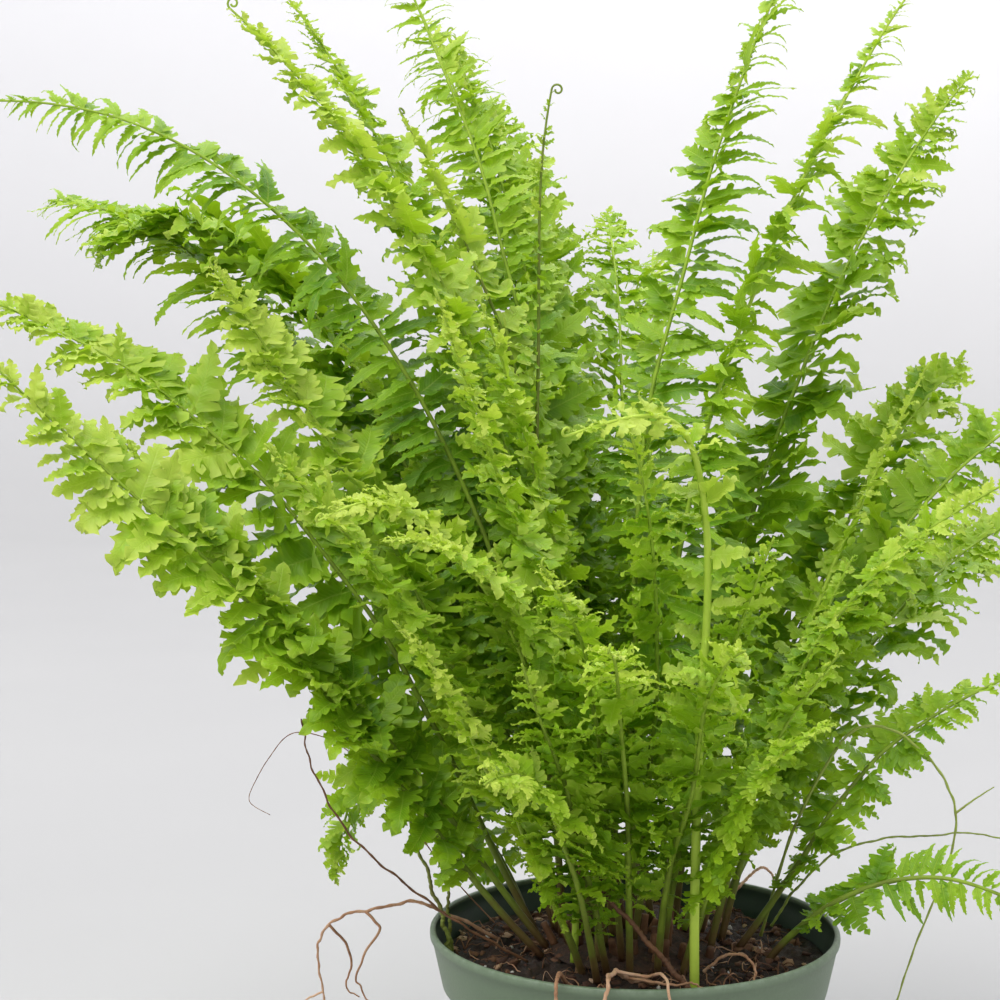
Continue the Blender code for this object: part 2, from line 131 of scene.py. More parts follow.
def pot_inner_radius(z):
    """Inside radius of the pot at height z."""
    neck_z = POT_H - POT_BAND_H
    if z >= neck_z + 0.002:
        share = (z - neck_z - 0.002) / (POT_BAND_H - 0.002)
        return POT_BAND_R - POT_WALL + share * (POT_RIM_R - POT_BAND_R)
    share = max(z, 0) / neck_z
    return POT_BASE_R + share * (POT_NECK_R - POT_BASE_R) - POT_WALL


def soil_height(r):
    return SOIL_TOP + SOIL_DOME * (1 - (r / 0.070) ** 2)


def crown_height(r):
    return SOIL_TOP + SOIL_DOME - 0.001 + CROWN_H * (1 - (r / CROWN_R) ** 2)


def ground(r):
    return max(soil_height(r), crown_height(r)) if r < CROWN_R else soil_height(r)


def heading(tilt, azimuth):
    t, a = math.radians(tilt), math.radians(azimuth)
    return np.array([math.sin(t) * math.cos(a), math.sin(t) * math.sin(a), math.cos(t)])


def control_points(base, row):
    """Four Bezier points: the stalk leaves the crown steeper than its chord and ends flatter."""
    tip, bend, droop, _, more = row
    tip = np.array(tip) / 1000
    reach = more.get("reach", (0.36, 0.36))
    base = np.array([base[0], base[1], 0.0])
    base[2] = ground(max(math.hypot(base[0], base[1]) - STALK_R0, 0)) + 0.0004
    chord = tip - base
    length = np.linalg.norm(chord)
    lean = math.degrees(math.atan2(math.hypot(chord[0], chord[1]), chord[2]))
    azimuth = math.degrees(math.atan2(chord[1], chord[0]))
    start = heading(*more["start"]) if "start" in more else heading(lean - bend, azimuth)
    end = heading(*more["end"]) if "end" in more else heading(lean + bend + droop, azimuth)
    bow = np.array([*more.get("bow", (0, 0)), 0.0]) / 750
    return np.array([base, base + reach[0] * length * start + bow, tip - reach[1] * length * end + bow, tip])


def weights(n):
    t = np.linspace(0, 1, n)
    return np.array([(1 - t) ** 3, 3 * t * (1 - t) ** 2, 3 * t * t * (1 - t), t**3])


def frond_paths():
    """Every frond's Bezier points, spread so that no two stalks or midribs touch."""
    names = list(FRONDS)
    bases, fixed = [], []
    for name in names:
        (x, y, z), _, _, _, more = FRONDS[name]
        lean = math.degrees(math.atan2(math.hypot(x, y), z - 1000 * SOIL_TOP))
        r, a = 0.050 * min(lean / 68, 1.0), math.atan2(y, x)
        bases.append([v / 1000 for v in more["base"]] if "base" in more else [r * math.cos(a), r * math.sin(a)])
        fixed.append("base" in more)
    bases, fixed = np.array(bases), np.array(fixed)
    for _ in range(300):
        diff = bases[:, None] - bases[None]
        dist = np.linalg.norm(diff, axis=2) + 1e-9
        push = np.clip(STALK_SPACING - dist, 0, None)
        np.fill_diagonal(push, 0)
        if push.max() < 1e-5:
            break
        move = (diff / dist[..., None] * push[..., None]).sum(1) * 0.5
        move[fixed] = 0
        bases += move
        r = np.linalg.norm(bases, axis=1)
        bases[r > 0.056] *= (0.056 / r[r > 0.056])[:, None]
    ctrl = np.array([control_points(b, FRONDS[n]) for b, n in zip(bases, names)])
    w = weights(33)
    for _ in range(150):
        pts = np.einsum("kt,nkd->ntd", w, ctrl)
        shift = np.zeros((len(names), 2, 3))
        close = 0
        for i in range(len(names)):
            for j in range(i + 1, len(names)):
                apart = pts[i][:, None] - pts[j][None]
                dist = np.linalg.norm(apart, axis=2)
                a, b = np.unravel_index(dist.argmin(), dist.shape)
                if dist[a, b] < RIB_SPACING and (a > 2 or b > 2):
                    step = apart[a, b] / (dist[a, b] + 1e-9) * (RIB_SPACING - dist[a, b]) * 0.8
                    shift[i] += step * w[1:3, a][:, None]
                    shift[j] -= step * w[1:3, b][:, None]
                    close += 1
        ctrl[:, 1:3] += shift
        if not close:
            break
    return dict(zip(names, ctrl))


def bezier(ctrl, t):
    t = np.atleast_1d(t)[:, None]
    return (1 - t) ** 3 * ctrl[0] + 3 * t * (1 - t) ** 2 * ctrl[1] + 3 * t * t * (1 - t) * ctrl[2] + t**3 * ctrl[3]


def by_length(ctrl):
    """Length along the path, and a function from length to the Bezier parameter."""
    t = np.linspace(0, 1, 201)
    p = bezier(ctrl, t)
    s = np.concatenate([[0], np.cumsum(np.linalg.norm(np.diff(p, axis=0), axis=1))])
    return s[-1], lambda d: np.interp(d, s, t)


def through(points, n):
    """A smooth curve through the points, as n points."""
    p = np.array(points, float) / 1000
    p = np.vstack([2 * p[0] - p[1], p, 2 * p[-1] - p[-2]])
    out = []
    for u in np.linspace(0, len(points) - 1 - 1e-6, n):
        k, t = int(u), u - int(u)
        a, b, c, d = p[k : k + 4]
        out.append(0.5 * (2 * b + (c - a) * t + (2 * a - 5 * b + 4 * c - d) * t * t + (3 * b - a - 3 * c + d) * t**3))
    return np.array(out)


FROND_PATHS = frond_paths()


def wire_paths():
    """The thin pieces slip past the stalks that they would touch."""
    ribs = np.concatenate([bezier(c, np.linspace(0, 1, 121)) for c in FROND_PATHS.values()])
    out = {}
    done = []
    for name, (points, radius) in WIRES.items():
        p = through(points, 34)
        for _ in range(80):
            others = np.concatenate([ribs, *done]) if done else ribs
            apart = p[:, None] - others[None]
            dist = np.linalg.norm(apart, axis=2)
            near = dist.argmin(1)
            low = dist[np.arange(len(p)), near]
            want = 0.0042
            push = np.clip(want - low, 0, None)
            if push.max() < 1e-5:
                break
            step = apart[np.arange(len(p)), near] / (low[:, None] + 1e-9) * push[:, None]
            soft = step.copy()
            soft[1:] += 0.6 * step[:-1]
            soft[:-1] += 0.6 * step[1:]
            soft[:, 2] = np.where(p[:, 2] < 0.125, 0, soft[:, 2])
            p += soft * 0.6
        out[name] = (p, radius / 1000)
        done.append(p)
    return out


# ---------------------------------------------------------------- camera
cam_data = bpy.data.cameras.new("camera")
cam_data.lens = 50
cam_data.sensor_width = 24
cam_data.sensor_fit = "HORIZONTAL"
cam_data.clip_start = 0.02
cam_data.clip_end = 30
camera = bpy.data.objects.new("camera", cam_data)
bpy.context.scene.collection.objects.link(camera)
camera.location = (-0.0499, -0.7592, 0.3393)
camera.rotation_euler = (math.radians(85.0), 0, 0)
bpy.context.scene.camera = camera


# ---------------------------------------------------------------- small helpers
def new_object(name, verts, faces, mats, smooth=True, body="root", face_mats=None, attrs=None):
    """A mesh object from numpy arrays. faces is a list of (n, k) integer arrays, one for each polygon size."""
    mesh = bpy.data.meshes.new(name)
    verts = np.asarray(verts, np.float32)
    mesh.vertices.add(len(verts))
    mesh.vertices.foreach_set("co", verts.ravel())
    loops, starts, totals = [], [], []
    at = 0
    for block in faces:
        block = np.asarray(block, np.int32)
        if not len(block):
            continue
        n, k = block.shape
        loops.append(block.ravel())
        starts.append(at + np.arange(n) * k)
        totals.append(np.full(n, k))
        at += n * k
    loops, starts, totals = np.concatenate(loops), np.concatenate(starts), np.concatenate(totals)
    mesh.loops.add(len(loops))
    mesh.loops.foreach_set("vertex_index", loops.astype(np.int32))
    mesh.polygons.add(len(starts))
    mesh.polygons.foreach_set("loop_start", starts.astype(np.int32))
    mesh.polygons.foreach_set("loop_total", totals.astype(np.int32))
    if face_mats is not None:
        mesh.polygons.foreach_set("material_index", np.asarray(face_mats, np.int32))
    for label, data in (attrs or {}).items():
        layer = mesh.attributes.new(label, "FLOAT_COLOR", "POINT")
        layer.data.foreach_set("color", np.asarray(data, np.float32).ravel())
    mesh.update(calc_edges=True)
    mesh.validate()
    if smooth:
        mesh.shade_smooth()
    for m in mats:
        mesh.materials.append(m)
    obj = bpy.data.objects.new(name, mesh)
    bpy.context.scene.collection.objects.link(obj)
    if body:
        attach(obj, body)
    return obj


def tube_arrays(points, radii, sides=8, seed_up=(0.13, 0.21, 0.97), caps=True, closed_tip=True):
    """Vertices and faces of a round tube along the points."""
    p = np.asarray(points, float)
    n = len(p)
    t = np.gradient(p, axis=0)
    t /= np.linalg.norm(t, axis=1)[:, None] + 1e-12
    up = np.array(seed_up, float)
    a = np.cross(t[0], up)
    if np.linalg.norm(a) < 1e-3:
        a = np.cross(t[0], (1, 0, 0))
    a /= np.linalg.norm(a)
    sides_a, sides_b = [], []
    for k in range(n):
        a = a - t[k] * (a @ t[k])
        a /= np.linalg.norm(a) + 1e-12
        sides_a.append(a.copy())
        sides_b.append(np.cross(t[k], a))
    sa, sb = np.array(sides_a), np.array(sides_b)
    ang = np.linspace(0, 2 * math.pi, sides, endpoint=False)
    r = np.asarray(radii, float).reshape(n, -1)
    ring = p[:, None] + (sa[:, None] * np.cos(ang)[None, :, None] + sb[:, None] * np.sin(ang)[None, :, None]) * r[:, :, None]
    verts = ring.reshape(-1, 3)
    i = np.arange(n - 1)[:, None] * sides
    j = np.arange(sides)[None]
    j2 = (j + 1) % sides
    quads = np.stack([i + j, i + j2, i + sides + j2, i + sides + j], -1).reshape(-1, 4)
    tris = np.zeros((0, 3), int)
    if caps:
        verts = np.vstack([verts, p[0], p[-1]])
        c0, c1 = len(verts) - 2, len(verts) - 1
        base = (n - 1) * sides
        jj = np.arange(sides)
        k2 = (jj + 1) % sides
        tris = np.vstack([np.stack([np.full(sides, c0), k2, jj], -1), np.stack([np.full(sides, c1), base + jj, base + k2], -1)])
    return verts, quads, tris


class Gather:
    """Collects pieces of one mesh."""

    def __init__(self):
        self.verts, self.quads, self.tris, self.qm, self.tm, self.data = [], [], [], [], [], []
        self.count = 0

    def add(self, verts, quads=None, tris=None, mat=0, data=None):
        verts = np.asarray(verts, float)
        self.verts.append(verts)
        if quads is not None and len(quads):
            self.quads.append(np.asarray(quads) + self.count)
            self.qm.append(np.full(len(quads), mat))
        if tris is not None and len(tris):
            self.tris.append(np.asarray(tris) + self.count)
            self.tm.append(np.full(len(tris), mat))
        if data is None:
            data = np.zeros((len(verts), 4))
        data = np.asarray(data, float)
        self.data.append(np.broadcast_to(data, (len(verts), 4)))
        self.count += len(verts)

    def build(self, name, mats, smooth=True, body="root"):
        faces, fm = [], []
        if self.quads:
            faces.append(np.concatenate(self.quads))
            fm.append(np.concatenate(self.qm))
        if self.tris:
            faces.append(np.concatenate(self.tris))
            fm.append(np.concatenate(self.tm))
        return new_object(name, np.concatenate(self.verts), faces, mats, smooth, body, np.concatenate(fm), {"grow": np.concatenate(self.data)})


def unit(v):
    v = np.asarray(v, float)
    return v / (np.linalg.norm(v, axis=-1, keepdims=True) + 1e-12)


# ---------------------------------------------------------------- materials
def nodes_of(mat):
    mat.use_nodes = True
    nt = mat.node_tree
    return nt, nt.nodes, nt.links


class Graph:
    def __init__(self, name):
        self.mat = bpy.data.materials.new(name)
        self.mat.use_nodes = True
        self.nt = self.mat.node_tree
        self.shader = self.nt.nodes["Principled BSDF"]
        self.out = self.nt.nodes["Material Output"]

    def node(self, kind, **inputs):
        n = self.nt.nodes.new(kind)
        for k, v in inputs.items():
            if hasattr(n, k) and k not in ("inputs", "Scale"):
                setattr(n, k, v)
        return n

    def link(self, a, b):
        self.nt.links.new(a, b)

    def noise(self, scale, detail=4.0, rough=0.55, vector=None, distortion=0.0):
        n = self.nt.nodes.new("ShaderNodeTexNoise")
        n.inputs["Scale"].default_value = scale
        n.inputs["Detail"].default_value = detail
        n.inputs["Roughness"].default_value = rough
        n.inputs["Distortion"].default_value = distortion
        self.link(vector or self.coords(), n.inputs["Vector"])
        return n.outputs["Fac"]

    def coords(self):
        if not hasattr(self, "_tc"):
            self._tc = self.nt.nodes.new("ShaderNodeTexCoord")
        return self._tc.outputs["Object"]

    def math(self, op, a, b=None, c=None, clamp=False):
        n = self.nt.nodes.new("ShaderNodeMath")
        n.operation = op
        n.use_clamp = clamp
        for i, v in enumerate((a, b, c)):
            if v is None:
                continue
            if isinstance(v, (int, float)):
                n.inputs[i].default_value = v
            else:
                self.link(v, n.inputs[i])
        return n.outputs[0]

    def ramp(self, fac, stops, mode="LINEAR"):
        n = self.nt.nodes.new("ShaderNodeValToRGB")
        n.color_ramp.interpolation = mode
        el = n.color_ramp.elements
        while len(el) < len(stops):
            el.new(0.5)
        for e, (pos, col) in zip(el, stops):
            e.position = pos
            e.color = (*col, 1) if len(col) == 3 else col
        self.link(fac, n.inputs["Fac"])
        return n.outputs["Color"]

    def mix(self, fac, a, b, mode="MIX"):
        n = self.nt.nodes.new("ShaderNodeMix")
        n.data_type = "RGBA"
        n.blend_type = mode
        for sock, v in ((n.inputs[0], fac), (n.inputs[6], a), (n.inputs[7], b)):
            if isinstance(v, (int, float)):
                sock.default_value = v
            elif isinstance(v, tuple):
                sock.default_value = (*v, 1)
            else:
                self.link(v, sock)
        return n.outputs[2]

    def attribute(self, name):
        n = self.nt.nodes.new("ShaderNodeAttribute")
        n.attribute_type = "GEOMETRY"
        n.attribute_name = name
        s = self.nt.nodes.new("ShaderNodeSeparateColor")
        self.link(n.outputs["Color"], s.inputs[0])
        return s.outputs[0], s.outputs[1], s.outputs[2], n.outputs["Alpha"]

    def bump(self, height, strength, distance):
        n = self.nt.nodes.new("ShaderNodeBump")
        n.inputs["Strength"].default_value = strength
        n.inputs["Distance"].default_value = distance
        self.link(height, n.inputs["Height"])
        self.link(n.outputs["Normal"], self.shader.inputs["Normal"])
        return n.outputs["Normal"]


def leaf_material(name, dark, mid, bright, pale, through, light_share):
    """Leaf: grow holds (along the leaflet, distance from its midrib, chance, freshness)."""
    g = Graph(name)
    u, v, chance, fresh = g.attribute("grow")
    mottle = g.noise(260.0, 3.0)
    wide = g.noise(38.0, 2.0)
    tone = g.math("ADD", fresh, g.math("MULTIPLY", g.math("SUBTRACT", mottle, 0.5), 0.20))
    tone = g.math("ADD", tone, g.math("MULTIPLY", g.math("SUBTRACT", wide, 0.5), 0.34))
    tone = g.math("ADD", tone, g.math("MULTIPLY", g.math("SUBTRACT", chance, 0.5), 0.22))
    # leaflets pale towards their margins and tips
    edge = g.math("POWER", v, 3.0)
    tone = g.math("ADD", tone, g.math("MULTIPLY", edge, 0.20))
    tone = g.math("ADD", tone, g.math("MULTIPLY", g.math("POWER", u, 2.5), 0.12), clamp=True)
    colour = g.ramp(tone, [(0.0, dark), (0.36, mid), (0.68, bright), (1.0, pale)])
    # midrib and side veins
    rib = g.math("SUBTRACT", 1.0, g.math("MULTIPLY", v, 9.0), clamp=True)
    vein = g.math("SINE", g.math("ADD", g.math("MULTIPLY", u, 62.0), g.math("MULTIPLY", v, -7.0)))
    vein = g.math("MULTIPLY", g.math("POWER", g.math("ABSOLUTE", vein), 6.0), g.math("SUBTRACT", 1.0, edge, clamp=True))
    colour = g.mix(g.math("MULTIPLY", rib, 0.35), colour, pale)
    colour = g.mix(g.math("MULTIPLY", vein, 0.10), colour, pale)
    g.link(colour, g.shader.inputs["Base Color"])
    rough = g.math("ADD", 0.36, g.math("MULTIPLY", g.noise(420.0, 2.0), 0.22))
    g.link(rough, g.shader.inputs["Roughness"])
    g.shader.inputs["Specular IOR Level"].default_value = 0.42
    height = g.math("ADD", g.math("MULTIPLY", rib, 0.8), g.math("MULTIPLY", vein, -0.35))
    height = g.math("ADD", height, g.math("MULTIPLY", mottle, 0.5))
    normal = g.bump(height, 0.45, 0.00035)
    back = g.nt.nodes.new("ShaderNodeBsdfTranslucent")
    lit = g.mix(1.0, g.mix(0.55, colour, through), (1.0, 1.0, 1.0), "MULTIPLY")
    g.link(lit, back.inputs["Color"])
    g.link(normal, back.inputs["Normal"])
    both = g.nt.nodes.new("ShaderNodeMixShader")
    both.inputs[0].default_value = light_share
    g.link(g.shader.outputs[0], both.inputs[1])
    g.link(back.outputs[0], both.inputs[2])
    g.link(both.outputs[0], g.out.inputs["Surface"])
    return g.mat


leaf_green = leaf_material("leaf_green", (0.034, 0.110, 0.004), (0.125, 0.300, 0.008), (0.330, 0.540, 0.022), (0.600, 0.730, 0.110), (0.50, 0.74, 0.012), 0.36)


def rib_material():
    g = Graph("frond_rib")
    u, v, chance, fresh = g.attribute("grow")
    tone = g.math("ADD", fresh, g.math("MULTIPLY", g.math("SUBTRACT", g.noise(120.0, 3.0), 0.5), 0.5), clamp=True)
    colour = g.ramp(tone, [(0.0, (0.085, 0.040, 0.015)), (0.25, (0.150, 0.110, 0.030)), (0.5, (0.165, 0.225, 0.028)), (0.75, (0.290, 0.430, 0.036)), (1.0, (0.450, 0.610, 0.070))])
    g.link(colour, g.shader.inputs["Base Color"])
    g.shader.inputs["Roughness"].default_value = 0.58
    g.shader.inputs["Specular IOR Level"].default_value = 0.28
    g.bump(g.noise(700.0, 3.0), 0.35, 0.0003)
    return g.mat


rib_green = rib_material()


def wire_material(name, stops, rough):
    g = Graph(name)
    u, v, chance, fresh = g.attribute("grow")
    tone = g.math("ADD", g.math("MULTIPLY", g.noise(90.0, 5.0, 0.7), 0.9), g.math("MULTIPLY", g.math("SUBTRACT", chance, 0.5), 0.3), clamp=True)
    g.link(g.ramp(tone, stops), g.shader.inputs["Base Color"])
    g.shader.inputs["Roughness"].default_value = rough
    g.bump(g.noise(1200.0, 4.0, 0.7), 0.6, 0.0004)
    return g.mat


dry_wire = wire_material("dry_runner", [(0.25, (0.16, 0.07, 0.03)), (0.45, (0.40, 0.21, 0.11)), (0.7, (0.64, 0.42, 0.27)), (1.0, (0.76, 0.58, 0.42))], 0.75)
dark_wire = wire_material("dark_runner", [(0.2, (0.07, 0.028, 0.012)), (0.5, (0.17, 0.075, 0.03)), (0.8, (0.30, 0.16, 0.07))], 0.7)
green_wire = wire_material("green_runner", [(0.2, (0.13, 0.11, 0.02)), (0.5, (0.26, 0.33, 0.05)), (0.8, (0.40, 0.48, 0.10))], 0.55)


def pot_material():
    g = Graph("pot_plastic")
    fine = g.noise(900.0, 3.0, 0.6)
    cloud = g.noise(22.0, 4.0, 0.6)
    tone = g.math("ADD", g.math("MULTIPLY", cloud, 0.7), g.math("MULTIPLY", fine, 0.3))
    colour = g.ramp(tone, [(0.25, (0.112, 0.160, 0.098)), (0.5, (0.134, 0.188, 0.116)), (0.8, (0.166, 0.222, 0.142))])
    # dust and dried splashes of soil on the lower wall, and a scuffed lip
    pos = g.nt.nodes.new("ShaderNodeSeparateXYZ")
    g.link(g.coords(), pos.inputs[0])
    low = g.math("SUBTRACT", 1.0, g.math("MULTIPLY", pos.outputs["Z"], 24.0), clamp=True)
    splash = g.math("MULTIPLY", g.math("MULTIPLY", g.math("SUBTRACT", g.noise(160.0, 5.0, 0.75), 0.52, clamp=True), 6.0, clamp=True), low)
    colour = g.mix(g.math("MULTIPLY", splash, 0.45), colour, (0.11, 0.075, 0.045))
    lip = g.math("MULTIPLY", g.math("SUBTRACT", pos.outputs["Z"], POT_H - 0.0022), 500.0, clamp=True)
    scuff = g.math("MULTIPLY", lip, g.math("MULTIPLY", g.math("SUBTRACT", g.noise(300.0, 4.0, 0.7), 0.42, clamp=True), 4.0, clamp=True))
    colour = g.mix(g.math("MULTIPLY", scuff, 0.5), colour, (0.26, 0.33, 0.25))
    # painted shade: the inside wall of the pot is painted a darker green, standing in for the shade inside it
    radius = g.math("SQRT", g.math("ADD", g.math("MULTIPLY", pos.outputs["X"], pos.outputs["X"]), g.math("MULTIPLY", pos.outputs["Y"], pos.outputs["Y"])))
    wall = g.math("ADD", POT_BAND_R - 0.0009, g.math("MULTIPLY", g.math("SUBTRACT", pos.outputs["Z"], NECK), (POT_RIM_R - POT_BAND_R) / POT_BAND_H))
    below = g.math("MULTIPLY", g.math("SUBTRACT", NECK, pos.outputs["Z"]), 4000.0, clamp=True)
    taper = g.math("ADD", POT_BASE_R - 0.0009, g.math("MULTIPLY", pos.outputs["Z"], (POT_NECK_R - POT_BASE_R) / NECK))
    wall = g.math("ADD", wall, g.math("MULTIPLY", g.math("SUBTRACT", taper, wall), below))
    inside = g.math("MULTIPLY", g.math("MULTIPLY", g.math("SUBTRACT", wall, radius), 3000.0, clamp=True), g.math("MULTIPLY", g.math("SUBTRACT", POT_H - 0.0012, pos.outputs["Z"]), 900.0, clamp=True), clamp=True)
    painted_inner_shade = g.mix(g.math("MULTIPLY", g.noise(120.0, 4.0, 0.7), 0.5), (0.028, 0.062, 0.040), (0.050, 0.080, 0.050))
    # painted shade mixed in over the inside wall
    colour = g.mix(inside, colour, painted_inner_shade)
    g.link(colour, g.shader.inputs["Base Color"])
    g.link(g.math("ADD", 0.34, g.math("MULTIPLY", cloud, 0.22)), g.shader.inputs["Roughness"])
    g.shader.inputs["Specular IOR Level"].default_value = 0.45
    g.bump(fine, 0.22, 0.0003)
    return g.mat


def soil_material(name="potting_mix", lift=1.0):
    g = Graph(name)
    grain = g.noise(520.0, 6.0, 0.75)
    clump = g.noise(110.0, 5.0, 0.65)
    tone = g.math("ADD", g.math("MULTIPLY", grain, 0.6), g.math("MULTIPLY", clump, 0.4))
    stops = [(0.30, (0.006, 0.004, 0.003)), (0.46, (0.020, 0.011, 0.007)), (0.58, (0.046, 0.022, 0.013)), (0.70, (0.095, 0.046, 0.026)), (0.82, (0.22, 0.13, 0.08))]
    g.link(g.ramp(tone, [(p, tuple(c * lift for c in col)) for p, col in stops]), g.shader.inputs["Base Color"])
    g.link(g.math("ADD", 0.55, g.math("MULTIPLY", clump, 0.45)), g.shader.inputs["Roughness"])
    g.bump(g.math("ADD", grain, clump), 0.9, 0.0012)
    return g.mat


def chip_material(name, stops):
    g = Graph(name)
    u, v, chance, fresh = g.attribute("grow")
    grainy = g.noise(330.0, 5.0, 0.7)
    tone = g.math("ADD", g.math("MULTIPLY", grainy, 0.55), g.math("MULTIPLY", chance, 0.5), clamp=True)
    g.link(g.ramp(tone, stops), g.shader.inputs["Base Color"])
    g.shader.inputs["Roughness"].default_value = 0.85
    g.bump(grainy, 0.8, 0.0006)
    return g.mat


pot_plastic = pot_material()
potting_mix = soil_material()
crown_bark = soil_material("crown_bark", 2.0)
bark_chip = chip_material("bark_chip", [(0.15, (0.018, 0.009, 0.006)), (0.45, (0.075, 0.032, 0.018)), (0.75, (0.17, 0.080, 0.040)), (1.0, (0.34, 0.19, 0.10))])
tan_chip = chip_material("tan_chip", [(0.15, (0.24, 0.13, 0.07)), (0.5, (0.47, 0.29, 0.17)), (0.85, (0.66, 0.46, 0.30))])
perlite = chip_material("perlite", [(0.2, (0.42, 0.40, 0.36)), (0.6, (0.66, 0.64, 0.60)), (1.0, (0.82, 0.81, 0.78))])


# ---------------------------------------------------------------- pot
def lathe(profile, steps):
    prof = np.array(profile)
    ang = np.linspace(0, 2 * math.pi, steps, endpoint=False)
    axis0, axis1 = prof[0][0] < 1e-9, prof[-1][0] < 1e-9
    body = prof[(1 if axis0 else 0) : (len(prof) - 1 if axis1 else len(prof))]
    n = len(body)
    verts = np.stack([body[:, 0][:, None] * np.cos(ang), body[:, 0][:, None] * np.sin(ang), np.repeat(body[:, 1][:, None], steps, 1)], -1).reshape(-1, 3)
    i = np.arange(n - 1)[:, None] * steps
    j = np.arange(steps)[None]
    j2 = (j + 1) % steps
    quads = np.stack([i + j, i + steps + j, i + steps + j2, i + j2], -1).reshape(-1, 4)
    tris = []
    jj, k2 = np.arange(steps), (np.arange(steps) + 1) % steps
    if axis0:
        verts = np.vstack([verts, (0, 0, prof[0][1])])
        tris.append(np.stack([np.full(steps, len(verts) - 1), jj, k2], -1))
    if axis1:
        verts = np.vstack([verts, (0, 0, prof[-1][1])])
        base = (n - 1) * steps
        tris.append(np.stack([np.full(steps, len(verts) - 1), base + k2, base + jj], -1))
    return verts, quads, np.concatenate(tris) if tris else np.zeros((0, 3), int)


def arc(cx, cz, r, a0, a1, n):
    return [(cx + r * math.cos(math.radians(a)), cz + r * math.sin(math.radians(a))) for a in np.linspace(a0, a1, n)]


def inner_at(z):
    return pot_inner_radius(z)


lip_r = 0.0013
pot_profile = [(0, POT_FLOOR)]
pot_profile += [(r, POT_FLOOR) for r in (0.012, 0.024, 0.033, 0.038, 0.043, 0.048)]
pot_profile += [(inner_at(0.0045), 0.0040)]
pot_profile += [(inner_at(z), z) for z in np.linspace(0.010, NECK - 0.002, 6)]
pot_profile += [(POT_NECK_R - POT_WALL + 0.0004, NECK), (POT_BAND_R - POT_WALL - 0.0006, NECK + 0.0014), (POT_BAND_R - POT_WALL, NECK + 0.0026)]
pot_profile += [(POT_BAND_R - POT_WALL + (POT_RIM_R - POT_BAND_R) * s, NECK + 0.0026 + (POT_BAND_H - 0.0042) * s) for s in (0.25, 0.5, 0.75, 0.96)]
pot_profile += arc(POT_RIM_R - POT_WALL / 2 - 0.0004, POT_H - 0.0011, 0.0011, 165, 15, 7)
pot_profile += [(POT_RIM_R, POT_H - 0.0018), (POT_RIM_R - 0.0001, POT_H - 0.0030), (POT_RIM_R - 0.0008, POT_H - 0.0036)]
pot_profile += [(POT_RIM_R - 0.0008 - (POT_RIM_R - 0.0008 - POT_BAND_R) * s, POT_H - 0.0036 - (POT_BAND_H - 0.0050) * s) for s in (0.25, 0.5, 0.75, 1.0)]
pot_profile += [(POT_BAND_R - 0.0002, NECK + 0.0007), (POT_BAND_R - 0.0009, NECK + 0.0001), (POT_NECK_R + 0.0006, NECK - 0.0003), (POT_NECK_R, NECK - 0.0012)]
pot_profile += [(POT_NECK_R - (POT_NECK_R - POT_BASE_R - 0.0010) * s, NECK - 0.0012 - (NECK - 0.0046) * s) for s in (0.2, 0.4, 0.6, 0.8, 1.0)]
pot_profile += [(POT_BASE_R + 0.0005, 0.0018), (POT_BASE_R - 0.0001, 0.0007), (POT_BASE_R - 0.0012, 0.0001), (POT_BASE_R - 0.0024, 0.0)]
pot_profile += [(r, 0.0) for r in (0.043, 0.038, 0.033, 0.024, 0.012)] + [(0, 0)]
verts, quads, tris = lathe(pot_profile, 160)
pot = new_object("pot_shell", verts, [quads[:, ::-1], tris[:, ::-1]], [pot_plastic])
for k in range(HOLE_COUNT):
    a = 2 * math.pi * (k + 0.5) / HOLE_COUNT
    x, y = HOLE_RING_R * math.cos(a), HOLE_RING_R * math.sin(a)
    dv, dq, dt = lathe([(0, -0.004), (HOLE_R, -0.004), (HOLE_R, 0.010), (0, 0.010)], 24)
    drill = new_object(f"drill_{k + 1}", dv + np.array([x, y, 0]), [dq, dt], [pot_plastic], smooth=False, body=None)
    cut = pot.modifiers.new("drain", "BOOLEAN")
    cut.operation, cut.solver, cut.object = "DIFFERENCE", "EXACT", drill
    deps = bpy.context.evaluated_depsgraph_get()
    done = bpy.data.meshes.new_from_object(pot.evaluated_get(deps))
    pot.modifiers.clear()
    pot.data = done
    bpy.data.objects.remove(drill, do_unlink=True)
pot.data.shade_smooth()
pot.data.set_sharp_from_angle(angle=math.radians(48))
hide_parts("pot")


# ---------------------------------------------------------------- soil and crown
def lattice_noise(x, y, size, seed):
    """Smooth value noise over a plane."""
    rng = np.random.default_rng(seed)
    grid = rng.random((256, 256))
    u, v = x / size + 100.37, y / size + 90.11
    i, j = np.floor(u).astype(int), np.floor(v).astype(int)
    fu, fv = u - i, v - j
    fu, fv = fu * fu * (3 - 2 * fu), fv * fv * (3 - 2 * fv)
    a, b = grid[i % 256, j % 256], grid[(i + 1) % 256, j % 256]
    c, d = grid[i % 256, (j + 1) % 256], grid[(i + 1) % 256, (j + 1) % 256]
    return (a * (1 - fu) + b * fu) * (1 - fv) + (c * (1 - fu) + d * fu) * fv - 0.5


def soil_bumps(x, y):
    return 0.0030 * lattice_noise(x, y, 0.017, 1) + 0.0026 * lattice_noise(x, y, 0.0062, 2) + 0.0022 * lattice_noise(x, y, 0.0026, 3) + 0.0011 * lattice_noise(x, y, 0.0012, 4)


